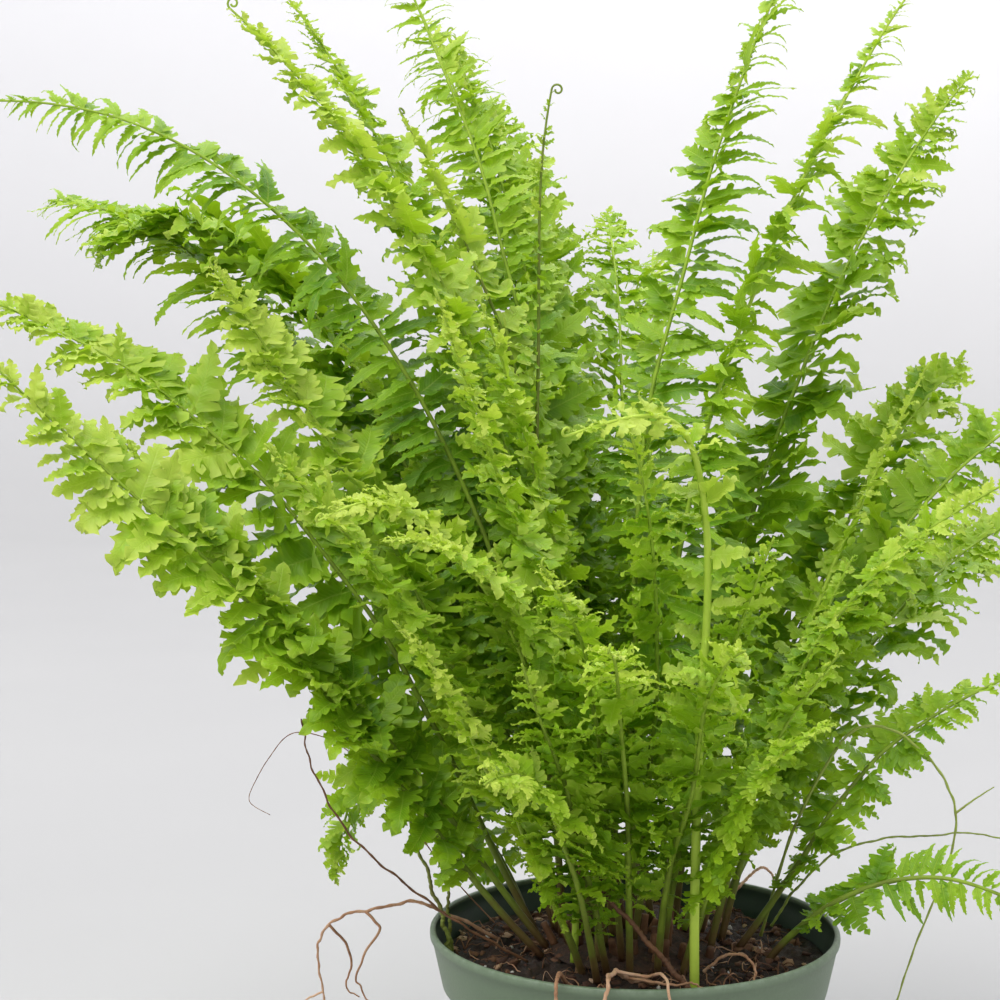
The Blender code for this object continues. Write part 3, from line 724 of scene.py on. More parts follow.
def soil_piece():
    g = Gather()
    rings, steps = 92, 300
    edge = inner_at(soil_height(0.0725)) - 0.0004
    r = np.linspace(0, edge, rings)[1:]
    ang = np.linspace(0, 2 * math.pi, steps, endpoint=False)
    x, y = r[:, None] * np.cos(ang), r[:, None] * np.sin(ang)
    z = SOIL_TOP + SOIL_DOME * (1 - (r[:, None] / 0.070) ** 2) + soil_bumps(x, y) * np.clip((edge - r[:, None]) / 0.004, 0.15, 1)
    top = np.stack([x, y, z], -1).reshape(-1, 3)
    down = []
    for rr, zz in ((POT_BAND_R - POT_WALL - 0.0006, NECK + 0.0030), (POT_NECK_R - POT_WALL - 0.0006, NECK), (inner_at(0.05) - 0.0006, 0.05), (inner_at(0.004) - 0.0006, POT_FLOOR + 0.0004)):
        down.append(np.stack([rr * np.cos(ang), rr * np.sin(ang), np.full(steps, zz)], -1))
    verts = np.vstack([top, *down])
    n = rings - 1 + len(down)
    i = np.arange(n - 1)[:, None] * steps
    j = np.arange(steps)[None]
    j2 = (j + 1) % steps
    quads = np.stack([i + j, i + steps + j, i + steps + j2, i + j2], -1).reshape(-1, 4)
    jj, k2 = np.arange(steps), (np.arange(steps) + 1) % steps
    verts = np.vstack([verts, (0, 0, SOIL_TOP + SOIL_DOME), (0, 0, POT_FLOOR + 0.0004)])
    c0, c1 = len(verts) - 2, len(verts) - 1
    tris = np.vstack([np.stack([np.full(steps, c0), jj, k2], -1), np.stack([np.full(steps, c1), (n - 1) * steps + k2, (n - 1) * steps + jj], -1)])
    g.add(verts, quads, tris)
    return g.build("soil_bed", [potting_mix])


soil = soil_piece()
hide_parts("soil")


def pebble(rng, size, flat, at):
    """A rough chip: a squashed, broken ball."""
    lat, lon = 5, 7
    th = np.linspace(0, math.pi, lat + 2)[1:-1]
    ph = np.linspace(0, 2 * math.pi, lon, endpoint=False) + rng.random() * 6
    r = 1 + 0.30 * rng.standard_normal((lat, lon)).clip(-1.4, 1.4)
    p = np.stack([np.sin(th)[:, None] * np.cos(ph) * r, np.sin(th)[:, None] * np.sin(ph) * r, np.cos(th)[:, None] * r], -1).reshape(-1, 3)
    p = np.vstack([p, (0, 0, 1), (0, 0, -1)])
    p *= np.array([1.0, 0.45 + 0.5 * rng.random(), flat]) * size
    a, b = rng.random(2) * 6.28
    tilt = rng.normal(0, 0.5)
    ca, sa, ct, st = math.cos(a), math.sin(a), math.cos(tilt), math.sin(tilt)
    rot = np.array([[ca, -sa, 0], [sa, ca, 0], [0, 0, 1]]) @ np.array([[1, 0, 0], [0, ct, -st], [0, st, ct]])
    p = p @ rot.T + at
    i = np.arange(lat - 1)[:, None] * lon
    j = np.arange(lon)[None]
    j2 = (j + 1) % lon
    quads = np.stack([i + j, i + lon + j, i + lon + j2, i + j2], -1).reshape(-1, 4)
    jj, k2 = np.arange(lon), (np.arange(lon) + 1) % lon
    tris = np.vstack([np.stack([np.full(lon, lat * lon), jj, k2], -1), np.stack([np.full(lon, lat * lon + 1), (lat - 1) * lon + k2, (lat - 1) * lon + jj], -1)])
    return p, quads, tris


def top_of_soil(x, y):
    r = np.hypot(x, y)
    return SOIL_TOP + SOIL_DOME * (1 - (r / 0.070) ** 2) + soil_bumps(np.asarray(x, float), np.asarray(y, float))


def soil_litter():
    rng = np.random.default_rng(11)
    g = Gather()
    for count, low, high, flat, mat in ((520, 0.0008, 0.0026, 0.45, 0), (70, 0.0009, 0.0030, 0.35, 1), (26, 0.0008, 0.0017, 0.85, 2)):
        for _ in range(count):
            r, a = 0.0700 * math.sqrt(rng.random()), rng.random() * 6.283
            x, y = r * math.cos(a), r * math.sin(a)
            size = low + (high - low) * rng.random() ** 2
            z = float(top_of_soil(x, y)) + size * flat * 0.35
            v, q, t = pebble(rng, size, flat, (x, y, z))
            g.add(v, q, t, mat, (0, 0, rng.random(), 0))
    for _ in range(230):
        r, a = 0.066 * math.sqrt(rng.random()), rng.random() * 6.283
        x, y = r * math.cos(a), r * math.sin(a)
        way, length = rng.random() * 6.283, 0.004 + 0.014 * rng.random()
        n = 9
        s = np.linspace(0, 1, n)
        curl = rng.normal(0, 1.6)
        dirs = way + curl * s
        px = x + np.cumsum(np.cos(dirs)) * length / n
        py = y + np.cumsum(np.sin(dirs)) * length / n
        keep = np.hypot(px, py).max() < 0.071
        if not keep:
            continue
        lift = rng.random() * 0.0035
        pz = top_of_soil(px, py) + 0.0004 + lift * np.sin(s * math.pi)
        rad = (0.00014 + 0.00022 * rng.random()) * (1 - 0.5 * s)
        v, q, t = tube_arrays(np.stack([px, py, pz], -1), rad, 5)
        g.add(v, q, t, 3 if rng.random() < 0.6 else 4, (0, 0, rng.random(), 0))
    return g.build("soil_litter", [bark_chip, tan_chip, perlite, dark_wire, dry_wire], smooth=False)


litter = soil_litter()
def crown_piece():
    """The low woody crown: a lumpy mound with the stubs of old stalks."""
    rng = np.random.default_rng(5)
    g = Gather()
    rings, steps = 26, 90
    edge = CROWN_R - 0.0018
    r = np.linspace(0, edge, rings)[1:]
    ang = np.linspace(0, 2 * math.pi, steps, endpoint=False)
    x, y = r[:, None] * np.cos(ang), r[:, None] * np.sin(ang)
    z = crown_height(r)[:, None] + 0.5 * soil_bumps(x * 1.3 + 0.3, y * 1.3) * np.clip((edge - r[:, None]) / 0.006, 0.3, 1)
    top = np.stack([x, y, z], -1).reshape(-1, 3)
    low_r = r[::-1][1:]
    low = np.stack([low_r[:, None] * np.cos(ang), low_r[:, None] * np.sin(ang), np.repeat(np.minimum(soil_height(low_r) + 0.0002, crown_height(low_r) - 0.0004)[:, None], steps, 1)], -1).reshape(-1, 3)
    verts = np.vstack([top, low])
    n = len(verts) // steps
    i = np.arange(n - 1)[:, None] * steps
    j = np.arange(steps)[None]
    j2 = (j + 1) % steps
    quads = np.stack([i + j, i + steps + j, i + steps + j2, i + j2], -1).reshape(-1, 4)
    jj, k2 = np.arange(steps), (np.arange(steps) + 1) % steps
    verts = np.vstack([verts, (0, 0, crown_height(0.0)), (0, 0, soil_height(0.0) + 0.0002)])
    c0, c1 = len(verts) - 2, len(verts) - 1
    tris = np.vstack([np.stack([np.full(steps, c0), jj, k2], -1), np.stack([np.full(steps, c1), (n - 1) * steps + k2, (n - 1) * steps + jj], -1)])
    g.add(verts, quads, tris, 0)
    for _ in range(46):
        rr, a = 0.031 * math.sqrt(rng.random()), rng.random() * 6.283
        x, y = rr * math.cos(a), rr * math.sin(a)
        lean = np.array([math.cos(a) * 0.5 * rng.random(), math.sin(a) * 0.5 * rng.random(), 1.0])
        h = 0.003 + 0.008 * rng.random()
        s = np.linspace(0, 1, 5)[:, None]
        p = np.array([x, y, crown_height(rr) - 0.001]) + lean * h * s
        v, q, t = tube_arrays(p, (0.0014 + 0.0006 * rng.random()) * (1 - 0.25 * s[:, 0]), 7)
        g.add(v, q, t, 1, (0, 0, rng.random(), 0))
    return g.build("crown_mound", [crown_bark, dark_wire])


crown = crown_piece()
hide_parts("crown")

# ---------------------------------------------------------------- leaflets
# kind: lobes a side, lobe depth, widest half width over length, tip bluntness, serration lean, ruffle, downward arch, curl of the tip
KINDS = {
    "fish": dict(lobes=8, depth=0.30, wide=0.142, blunt=0.92, lean=0.60, ruffle=0.030, arch=(32, 82), curl=(5, 50), cup=0.16),
    "broad": dict(lobes=6, depth=0.44, wide=0.238, blunt=0.50, lean=0.35, ruffle=0.075, arch=(-6, 46), curl=(10, 120), cup=0.22),
    "feather": dict(lobes=7, depth=0.84, wide=0.275, blunt=0.75, lean=0.60, ruffle=0.070, arch=(5, 60), curl=(0, 90), cup=0.20),
    "young": dict(lobes=4, depth=0.50, wide=0.250, blunt=0.45, lean=0.30, ruffle=0.085, arch=(-30, 40), curl=(40, 200), cup=0.30),
}
VCOLS = np.array([-1.0, -0.5, 0.0, 0.5, 1.0])
LEAF_GROWTH = 1.17    # leaflets as grown over the plain leaf length in LOOKS
TIP_TAPER = 40.0     # mm from the tip over which the leaflets grow to full length


TAPERS = {"frond_15": 62.0, "frond_12": 60.0, "frond_07": 60.0, "frond_17": 62.0, "frond_18": 56.0, "frond_27": 22.0, "frond_28": 24.0, "frond_34": 26.0, "frond_09": 60.0}


def leaflet_sheets(kind, count, rng):
    """Outlines of count leaflets in unit length: x along, y across, for every station and column."""
    k = KINDS[kind]
    lobes = k["lobes"]
    per = 4
    nu = lobes * per + 3
    u = np.concatenate([[0.0, 0.045], 0.07 + (np.arange(lobes * per) / (lobes * per)) * 0.90, [1.0]])
    phase = np.concatenate([[0, 0], np.tile(np.arange(per), lobes), [0]])
    rise = np.clip(u / 0.12, 0, 1)
    rise = rise * rise * (3 - 2 * rise)
    # a full base, widest near a quarter, then a long taper
    shape = rise * (1 - u ** (1.15 + 1.6 * (1 - k["blunt"]))) ** (0.55 + 0.35 * k["blunt"]) * (1 + 0.22 * np.exp(-(((u - 0.14) / 0.10) ** 2)))
    shape[0] = 0.10
    shape[1] = max(shape[1], 0.16)
    shape[-1] = 0.02
    sheet_x = np.zeros((count, nu, 5))
    sheet_y = np.zeros((count, nu, 5))
    for col, sign in ((0, -1), (4, 1)):
        jitter = 1 + 0.07 * rng.standard_normal((count, nu))
        lobe_of = np.concatenate([[0, 0], np.repeat(np.arange(lobes), per), [lobes - 1]]).astype(int)
        lobe_size = 1 + 0.24 * rng.standard_normal((count, lobes)).clip(-1.6, 1.6)
        w = shape[None] * jitter
        cut = np.array([1 - k["depth"], 1 - 0.16 * k["depth"], 1.0, 1 - 0.14 * k["depth"]])[phase]
        cut = np.where((u < 0.07) | (u >= 0.999), 1.0, cut)
        w = w * cut[None]
        w = np.where(phase[None] > 0, w * lobe_size[:, lobe_of], w)
        sheet_y[:, :, col] = sign * w
        forward = np.array([0.0, 0.10, 0.34, 0.52])[phase] * 0.9 / lobes * (0.5 + k["lean"])
        if kind == "feather":
            forward = forward + np.where(phase >= 2, 0.035, 0)
        forward = forward * shape / (shape.max() + 1e-9)
        sheet_x[:, :, col] = u + forward
    solid = shape * (1 - k["depth"]) * 0.62
    for col, sign in ((1, -1), (3, 1)):
        sheet_y[:, :, col] = sign * solid[None]
        sheet_x[:, :, col] = u
    sheet_x[:, :, 2] = u
    return u, sheet_x, sheet_y * k["wide"]


def leaflets(kind, root, along, across, face, size, rng, arch_scale=1.0, width_scale=None, curl_scale=1.0, falcate=None):
    """Vertices (M, NU, 5, 3) of M leaflets. along is the axis at the base, face its upper side, across = towards the frond's tip."""
    k = KINDS[kind]
    m = len(root)
    u, sx, sy = leaflet_sheets(kind, m, rng)
    nu = len(u)
    L = size[:, None, None]
    if width_scale is not None:
        sy = sy * width_scale[:, None, None]
    arch = np.radians(rng.uniform(*k["arch"], m)) * arch_scale
    curl = np.radians(rng.uniform(*k["curl"], m) * np.where(rng.random(m) < 0.75, 1, -0.6)) * curl_scale
    sickle = np.radians(rng.uniform(4, 30, m) if falcate is None else falcate)
    theta = arch[:, None] * (u[None] ** 1.1) + curl[:, None] * np.clip((u[None] - 0.62) / 0.38, 0, 1) ** 1.6
    psi = sickle[:, None] * (u[None] ** 1.3)
    ct, st, cp, sp = np.cos(theta), np.sin(theta), np.cos(psi), np.sin(psi)
    D, B, N = along[:, None], across[:, None], face[:, None]
    t = (D * ct[..., None] - N * st[..., None]) * cp[..., None] + B * sp[..., None]
    b = B * cp[..., None] - (D * ct[..., None] - N * st[..., None]) * sp[..., None]
    n = D * st[..., None] + N * ct[..., None]
    du = np.diff(u, prepend=0)
    centre = np.cumsum(t * du[None, :, None], axis=1)
    v = sy / (np.abs(sy).max(axis=(1, 2), keepdims=True) + 1e-9)
    wave = rng.uniform(0, 6.283, (m, 1, 1))
    other = rng.uniform(0, 6.283, (m, 1, 1))
    freq = rng.uniform(2.0, 4.6, (m, 1, 1))
    side = (VCOLS > 0)[None, None, :]
    ripple = np.where(side, np.sin(2 * math.pi * freq * u[None, :, None] + wave), np.sin(2 * math.pi * freq * u[None, :, None] + other))
    cup = rng.normal(0.55, 0.75, (m, 1, 1)) * k["cup"]
    lift = k["ruffle"] * ripple * np.abs(v) ** 1.4 * rng.uniform(0.5, 1.4, (m, 1, 1)) + cup * np.abs(sy) * np.abs(v)
    lift = lift + (np.abs(VCOLS)[None, None] > 0.9) * rng.normal(0, k["ruffle"] * 0.30, (m, nu, 5))
    pos = root[:, None, None] + L[..., None] * (centre[:, :, None] + (sx - u[None, :, None])[..., None] * t[:, :, None] + sy[..., None] * b[:, :, None] + lift[..., None] * n[:, :, None])
    return pos, u


def sheet_faces(m, nu, nv=5):
    base = (np.arange(m) * nu * nv)[:, None, None]
    i = (np.arange(nu - 1) * nv)[None, :, None]
    j = np.arange(nv - 1)[None, None]
    a = base + i + j
    return np.stack([a, a + 1, a + nv + 1, a + nv], -1).reshape(-1, 4)


# ---------------------------------------------------------------- fronds
# frond: (leaflet kind low down, kind higher up, share where it changes, leaflet length mm, pitch mm, freshness low, freshness at the tip, roll towards the viewer, crozier turns, rib tone)
LOOKS = {
    "frond_01": ("fish", "fish", 0.5, 21, 6.2, 0.30, 0.62, 0.55, 0.0, 0.45),
    "frond_02": ("broad", "broad", 0.5, 19, 6.4, 0.46, 0.95, 0.30, 1.1, 0.55),
    "frond_03": ("broad", "fish", 0.5, 20, 6.6, 0.42, 0.75, 0.2, 0.0, 0.5),
    "frond_04": ("broad", "broad", 0.5, 18, 7.0, 0.45, 0.80, 0.2, 0.6, 0.5),
    "frond_05": ("broad", "broad", 0.5, 19, 6.6, 0.40, 0.70, 0.2, 0.0, 0.5),
    "frond_06": ("broad", "fish", 0.5, 20, 6.4, 0.42, 0.78, 0.2, 0.0, 0.5),
    "frond_07": ("broad", "broad", 0.5, 19, 6.8, 0.42, 0.80, 0.2, 0.5, 0.5),
    "frond_08": ("broad", "young", 0.7, 16, 6.6, 0.50, 0.92, 0.2, 0.8, 0.3),
    "frond_09": ("broad", "young", 0.55, 12, 8.4, 0.46, 0.70, 0.0, 1.0, 0.25),
    "frond_10": ("broad", "broad", 0.5, 19, 6.6, 0.40, 0.70, 0.1, 0.0, 0.5),
    "frond_11": ("broad", "fish", 0.5, 19, 6.6, 0.40, 0.66, 0.1, 0.0, 0.5),
    "frond_12": ("broad", "broad", 0.5, 19, 6.2, 0.50, 0.95, 0.0, 1.2, 0.55),
    "frond_13": ("fish", "fish", 0.5, 22, 5.0, 0.38, 0.66, 0.15, 0.0, 0.5),
    "frond_14": ("fish", "fish", 0.5, 22, 5.2, 0.40, 0.72, 0.30, 0.0, 0.6),
    "frond_15": ("broad", "broad", 0.5, 24, 6.2, 0.42, 0.74, 0.45, 0.0, 0.5),
    "frond_16": ("broad", "young", 0.45, 12, 7.6, 0.50, 0.98, 0.2, 1.3, 0.85),
    "frond_17": ("broad", "broad", 0.5, 16, 6.0, 0.44, 0.86, 0.5, 0.0, 0.5),
    "frond_18": ("feather", "broad", 0.5, 17, 6.2, 0.42, 0.74, 0.5, 0.0, 0.4),
    "frond_19": ("broad", "broad", 0.5, 22, 6.4, 0.40, 0.70, 0.3, 0.0, 0.45),
    "frond_20": ("broad", "broad", 0.5, 18, 6.0, 0.42, 0.70, 0.5, 0.0, 0.5),
    "frond_21": ("broad", "broad", 0.5, 25, 6.2, 0.40, 0.72, 0.5, 0.0, 0.5),
    "frond_22": ("feather", "feather", 0.5, 15, 6.2, 0.34, 0.66, 0.5, 0.0, 0.4),
    "frond_23": ("feather", "fish", 0.4, 16, 5.6, 0.30, 0.60, 0.6, 0.0, 0.4),
    "frond_24": ("broad", "broad", 0.5, 23, 6.6, 0.44, 0.92, 0.55, 0.8, 0.45),
    "frond_25": ("broad", "broad", 0.5, 21, 6.8, 0.44, 0.86, 0.55, 0.0, 0.45),
    "frond_26": ("broad", "broad", 0.5, 24, 6.4, 0.44, 0.86, 0.5, 0.0, 0.45),
    "frond_27": ("broad", "broad", 0.5, 27, 6.0, 0.36, 0.62, 0.6, 0.0, 0.45),
    "frond_28": ("broad", "fish", 0.5, 27, 6.2, 0.34, 0.60, 0.6, 0.0, 0.45),
    "frond_29": ("feather", "feather", 0.5, 20, 5.6, 0.34, 0.66, 0.4, 0.0, 0.4),
    "frond_30": ("broad", "broad", 0.5, 21, 6.4, 0.48, 0.96, 0.45, 0.8, 0.5),
    "frond_31": ("broad", "young", 0.6, 16, 6.0, 0.52, 1.00, 0.2, 0.9, 0.8),
    "frond_32": ("broad", "broad", 0.5, 18, 6.0, 0.50, 0.88, 0.2, 0.0, 0.6),
    "frond_33": ("broad", "broad", 0.5, 17, 6.6, 0.54, 0.84, 0.2, 0.0, 0.5),
    "frond_34": ("broad", "young", 0.62, 13, 9.6, 0.56, 1.00, 0.0, 0.9, 1.0),
    "frond_35": ("feather", "broad", 0.55, 18, 6.6, 0.40, 0.80, 0.0, 0.6, 0.5),
    "frond_36": ("feather", "broad", 0.5, 18, 6.6, 0.44, 0.84, 0.1, 0.5, 0.45),
    "frond_37": ("feather", "feather", 0.5, 18, 6.6, 0.40, 0.72, 0.1, 0.0, 0.35),
    "frond_38": ("broad", "fish", 0.4, 20, 5.6, 0.34, 0.58, 0.1, 0.0, 0.5),
    "frond_39": ("broad", "broad", 0.5, 19, 6.2, 0.46, 0.84, 0.1, 0.6, 0.5),
    "frond_40": ("broad", "broad", 0.5, 19, 6.2, 0.42, 0.74, 0.3, 0.0, 0.5),
    "frond_41": ("broad", "broad", 0.5, 20, 6.6, 0.46, 0.84, 0.3, 0.0, 0.5),
    "frond_42": ("broad", "broad", 0.5, 19, 6.4, 0.40, 0.72, 0.1, 0.0, 0.5),
    "frond_43": ("feather", "broad", 0.5, 19, 6.4, 0.44, 0.82, 0.1, 0.0, 0.5),
    "frond_44": ("broad", "broad", 0.5, 19, 6.4, 0.38, 0.66, 0.2, 0.0, 0.5),
    "frond_45": ("feather", "feather", 0.5, 19, 6.2, 0.40, 0.74, 0.2, 0.0, 0.45),
    "frond_46": ("feather", "feather", 0.5, 18, 6.2, 0.42, 0.80, 0.2, 0.0, 0.45),
    "frond_47": ("feather", "broad", 0.5, 18, 6.2, 0.46, 0.86, 0.0, 0.5, 0.5),
    "frond_48": ("feather", "feather", 0.5, 18, 6.2, 0.42, 0.78, 0.1, 0.0, 0.4),
    "frond_49": ("broad", "feather", 0.5, 19, 6.4, 0.38, 0.66, 0.0, 0.0, 0.45),
    "frond_50": ("broad", "feather", 0.5, 19, 6.4, 0.38, 0.68, 0.0, 0.0, 0.45),
}


def frond(name, index):
    rng = np.random.default_rng(1000 + index)
    low_kind, high_kind, change, leaf_mm, pitch_mm, fresh0, fresh1, roll, turns, rib_tone = LOOKS[name]
    ctrl = FROND_PATHS[name]
    length, at = by_length(ctrl)
    n = 90
    s = np.linspace(0, length, n)
    spine = bezier(ctrl, at(s))
    # small wanders of the midrib, none at the base
    wander = sum(rng.normal(0, 0.0009 / f, 3)[None] * np.sin(f * 2.4 * s[:, None] / length * math.pi + rng.uniform(0, 6)) for f in (1.0, 2.0, 4.0))
    spine = spine + wander * np.clip(s / 0.08, 0, 1)[:, None]
    forward = unit(np.gradient(spine, axis=0))
    out = ctrl[3] - ctrl[0]
    azimuth = math.atan2(out[1], out[0])
    face = np.array([-0.75 * math.cos(azimuth), -0.75 * math.sin(azimuth) - roll, 0.66])
    if "end" in FRONDS[name][4] and "base" in FRONDS[name][4]:
        face = np.array([-0.2, -0.6, 0.7])
    # the blade twists gently along its length
    swing = rng.uniform(0.25, 0.6) if turns < 0.9 else 0.2
    spin = (rng.normal(0, 0.20) + swing * np.sin(2 * math.pi * rng.uniform(0.7, 1.5) * s / length + rng.uniform(0, 6.283)))[:, None]
    normal = unit(face - forward * (forward @ face)[:, None])
    side = np.cross(forward, normal)
    normal, side = normal * np.cos(spin) + side * np.sin(spin), side * np.cos(spin) - normal * np.sin(spin)
    g = Gather()
    # stalk and midrib
    stout = 1.18 if name == "frond_34" else 1.0
    radii = stout * (0.0015 + (0.00040 - 0.0015) * (s / length) ** (2.2 if stout > 1 else 0.75))
    rib_points, rib_radii = spine, radii
    if turns > 0:
        r0 = 0.0022 if turns > 0.95 else 0.0018
        steps = int(14 * turns) + 4
        ang = np.linspace(0, turns * 2 * math.pi, steps)[1:]
        rad = r0 * (1 - 0.62 * ang / (turns * 2 * math.pi))
        curl_side = normal[-1] if rng.random() < 0.6 else unit(side[-1] + 0.4 * normal[-1])
        curl_side = unit(curl_side - forward[-1] * (forward[-1] @ curl_side))
        centre = spine[-1] + curl_side * r0
        extra = centre + (-curl_side * np.cos(ang)[:, None] + forward[-1] * np.sin(ang)[:, None]) * rad[:, None]
        rib_points = np.vstack([spine, extra])
        rib_radii = np.concatenate([radii, np.linspace(radii[-1], 0.0004, len(extra))])
    v, q, t = tube_arrays(rib_points, rib_radii, 8)
    share = np.concatenate([np.repeat(np.linspace(0, 1, len(rib_points)), 8), [0, 1]])
    tone = np.clip(rib_tone + 0.16 + (share - 0.4) * 0.25 - 0.55 * np.clip(0.10 - share, 0, 1) / 0.10 * (0.9 if rib_tone < 0.8 else 0.25), 0, 1)
    data = np.stack([share, np.zeros_like(share), np.full_like(share, rng.random()), tone], -1)
    g.add(v, q, t, 1, data)
    # leaflets, in two rows
    start = 0.13 + 0.06 * rng.random()
    leaf = leaf_mm / 1000 * (LEAF_GROWTH if int(name[-2:]) <= 30 else 1.06)
    marks = []
    d = start * length
    while d < length * 0.992:
        q01 = d / length
        marks.append(d)
        d += pitch_mm * 0.74 / 1000 * (1.08 - 0.30 * q01 - 0.30 * math.exp(-(length - d) / 0.030)) * rng.uniform(0.9, 1.1)
    marks = np.array(marks)
    for sgn in (-1, 1):
        place = marks + rng.normal(0, pitch_mm / 1000 * 0.12, len(marks)) + (pitch_mm / 1000 * 0.45 if sgn > 0 else 0)
        place = place[(place < length * 0.997)]
        keep = rng.random(len(place)) > 0.035
        place = place[keep]
        q01 = place / length
        m = len(place)
        k = np.interp(place, s, np.arange(n))
        k0 = np.clip(k.astype(int), 0, n - 2)
        f = (k - k0)[:, None]
        P = spine[k0] * (1 - f) + spine[k0 + 1] * f
        T = unit(forward[k0] * (1 - f) + forward[k0 + 1] * f)
        S = unit(side[k0] * (1 - f) + side[k0 + 1] * f) * sgn
        N = unit(normal[k0] * (1 - f) + normal[k0 + 1] * f)
        rr = np.interp(place, s, radii)
        to_tip = (length - place) * 1000
        prof = np.minimum(1.0, 0.50 + 2.6 * (q01 - start)) * (0.10 + 0.98 * (1 - np.exp(-to_tip / TAPERS.get(name, TIP_TAPER))))
        size = leaf * prof * rng.uniform(0.80, 1.16, m)
        ahead = np.radians(np.interp(q01, [0.1, 0.5, 0.9, 1.0], [4, 14, 30, 48]) + rng.normal(0, 9, m))
        raise_ = np.radians(rng.normal(6, 13, m))
        along = unit(S * np.cos(ahead)[:, None] * np.cos(raise_)[:, None] + T * np.sin(ahead)[:, None] + N * np.sin(raise_)[:, None])
        to_sky = np.clip(rng.normal(0.62, 0.22, m), 0.05, 1.1)[:, None]
        up = N * (1 - to_sky) + np.array([0, 0, 1.0]) * to_sky + rng.normal(0, 0.13, (m, 3))
        upper = unit(up - along * (up * along).sum(1)[:, None])
        across = np.cross(upper, along)
        flip = np.where((across * T).sum(1) < 0, -1.0, 1.0)[:, None]
        across = across * flip
        root = P + along * (rr * 0.55)[:, None]
        freshness = fresh0 + (fresh1 - fresh0) * np.clip((q01 - 0.25) / 0.72, 0, 1) ** 1.5 + rng.normal(0, 0.06, m)
        for kind in (low_kind, high_kind) if low_kind != high_kind else (low_kind,):
            blend = q01 + rng.normal(0, 0.05, m)
            pick = np.ones(m, bool) if low_kind == high_kind else ((blend < change) if kind == low_kind else (blend >= change))
            # the last leaflets are always small and curled
            end = to_tip < 26
            for use, chosen in ((kind, pick & ~end), ("young" if kind != "fish" else "fish", pick & end)):
                c = np.where(chosen)[0]
                if not len(c):
                    continue
                pos, u = leaflets(use, root[c], along[c], across[c], upper[c], size[c], rng, width_scale=rng.uniform(0.9, 1.25, len(c)))
                nu = len(u)
                data = np.zeros((len(c), nu, 5, 4))
                data[..., 0] = u[None, :, None]
                data[..., 1] = np.abs(VCOLS)[None, None]
                data[..., 2] = rng.random(len(c))[:, None, None]
                data[..., 3] = np.clip(freshness[c], 0, 1)[:, None, None]
                faces = sheet_faces(len(c), nu)
                wrong = (flip[c, 0] < 0)
                face_leaf = np.repeat(wrong, (nu - 1) * 4)
                faces = np.where(face_leaf[:, None], faces[:, ::-1], faces)
                g.add(pos.reshape(-1, 3), faces, None, 0, data.reshape(-1, 4))
    obj = g.build(name + "_leaf", [leaf_green, rib_green])
    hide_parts(name)
    return obj


for index, name in enumerate(FRONDS):
    frond(name, index)


# ---------------------------------------------------------------- runners and roots
def wire_piece(name, points, radius, mat, replaces=None, branches=()):
    rng = np.random.default_rng(sum(ord(c) for c in name))
    g = Gather()
    n = 110
    p = np.array(points)
    s = np.linspace(0, len(p) - 1, n)
    fine = np.stack([np.interp(s, np.arange(len(p)), p[:, k]) for k in range(3)], -1)
    for _ in range(6):
        fine[1:-1] = (fine[:-2] + 2 * fine[1:-1] + fine[2:]) / 4
    kinks = sum(rng.normal(0, radius * 0.35 / f, 3)[None] * np.sin(f * 9 * np.linspace(0, math.pi, n)[:, None] + rng.uniform(0, 6)) for f in (1.0, 2.2, 4.1))
    fine = fine + kinks * np.clip(np.arange(n) / 12, 0, 1)[:, None]
    rad = WIRE_THIN.get(name, 1.0) * radius * (1 - 0.5 * np.linspace(0, 1, n)) * (1 + 0.16 * np.sin(np.arange(n) * 1.7 + rng.random() * 6))
    v, q, t = tube_arrays(fine, rad, 8)
    g.add(v, q, t, 0, (0, 0, rng.random(), 0.5))
    for where, pts, r in branches:
        k = int(where * (n - 1))
        b = through([tuple(fine[k] * 1000)] + list(pts), 40)
        wob = sum(rng.normal(0, r * 0.4 / f, 3)[None] * np.sin(f * 8 * np.linspace(0, math.pi, 40)[:, None] + rng.uniform(0, 6)) for f in (1.0, 2.3))
        b = b + wob / 1000 * np.clip(np.arange(40) / 8, 0, 1)[:, None]
        v, q, t = tube_arrays(b, r / 1000 * (1 - 0.55 * np.linspace(0, 1, 40)), 6)
        g.add(v, q, t, 0, (0, 0, rng.random(), 0.5))
    obj = g.build(name, [mat])
    if replaces:
        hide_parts(replaces)
    return obj


WIRE_PATHS = wire_paths()
WIRE_THIN = {"runner_right_wire": 0.62, "runner_right_low_wire": 0.62, "runner_left_high_wire": 0.6, "runner_left_rim_wire": 0.72, "root_front_left_wire": 0.85, "root_front_middle_wire": 0.85, "dead_stalk_wire": 0.8}
BRANCHES = {
    "runner_left_rim": [(0.60, [(-108, 9, 104), (-106, 9, 96), (-108, 8, 88), (-103, 7, 84)], 0.6), (0.45, [(-95, 3, 112), (-100, -2, 104), (-103, -4, 96), (-101, -5, 90), (-94, -6, 84)], 0.6), (0.86, [(-124, 8, 82), (-130, 7, 74)], 0.5)],
    "root_front_middle": [(0.28, [(-2, -62, 114.5), (4, -68, 117), (6, -76, 117.6), (7, -79.5, 112), (8, -80, 101), (7, -79, 92)], 0.75), (0.16, [(10, -58, 110), (16, -62, 112), (22, -64, 109)], 0.6)],
    "runner_right": [(0.55, [(124, -7, 163), (131, -8, 168)], 0.5)],
}
for name, (points, radius) in WIRE_PATHS.items():
    if name == "runner_right":
        mat = green_wire
    elif name == "runner_right_low":
        mat = green_wire
    elif name in ("runner_left_high", "dead_stalk"):
        mat = dark_wire
    else:
        mat = dry_wire
    wire_piece(name + "_wire", points, radius, mat, name, BRANCHES.get(name, ()))

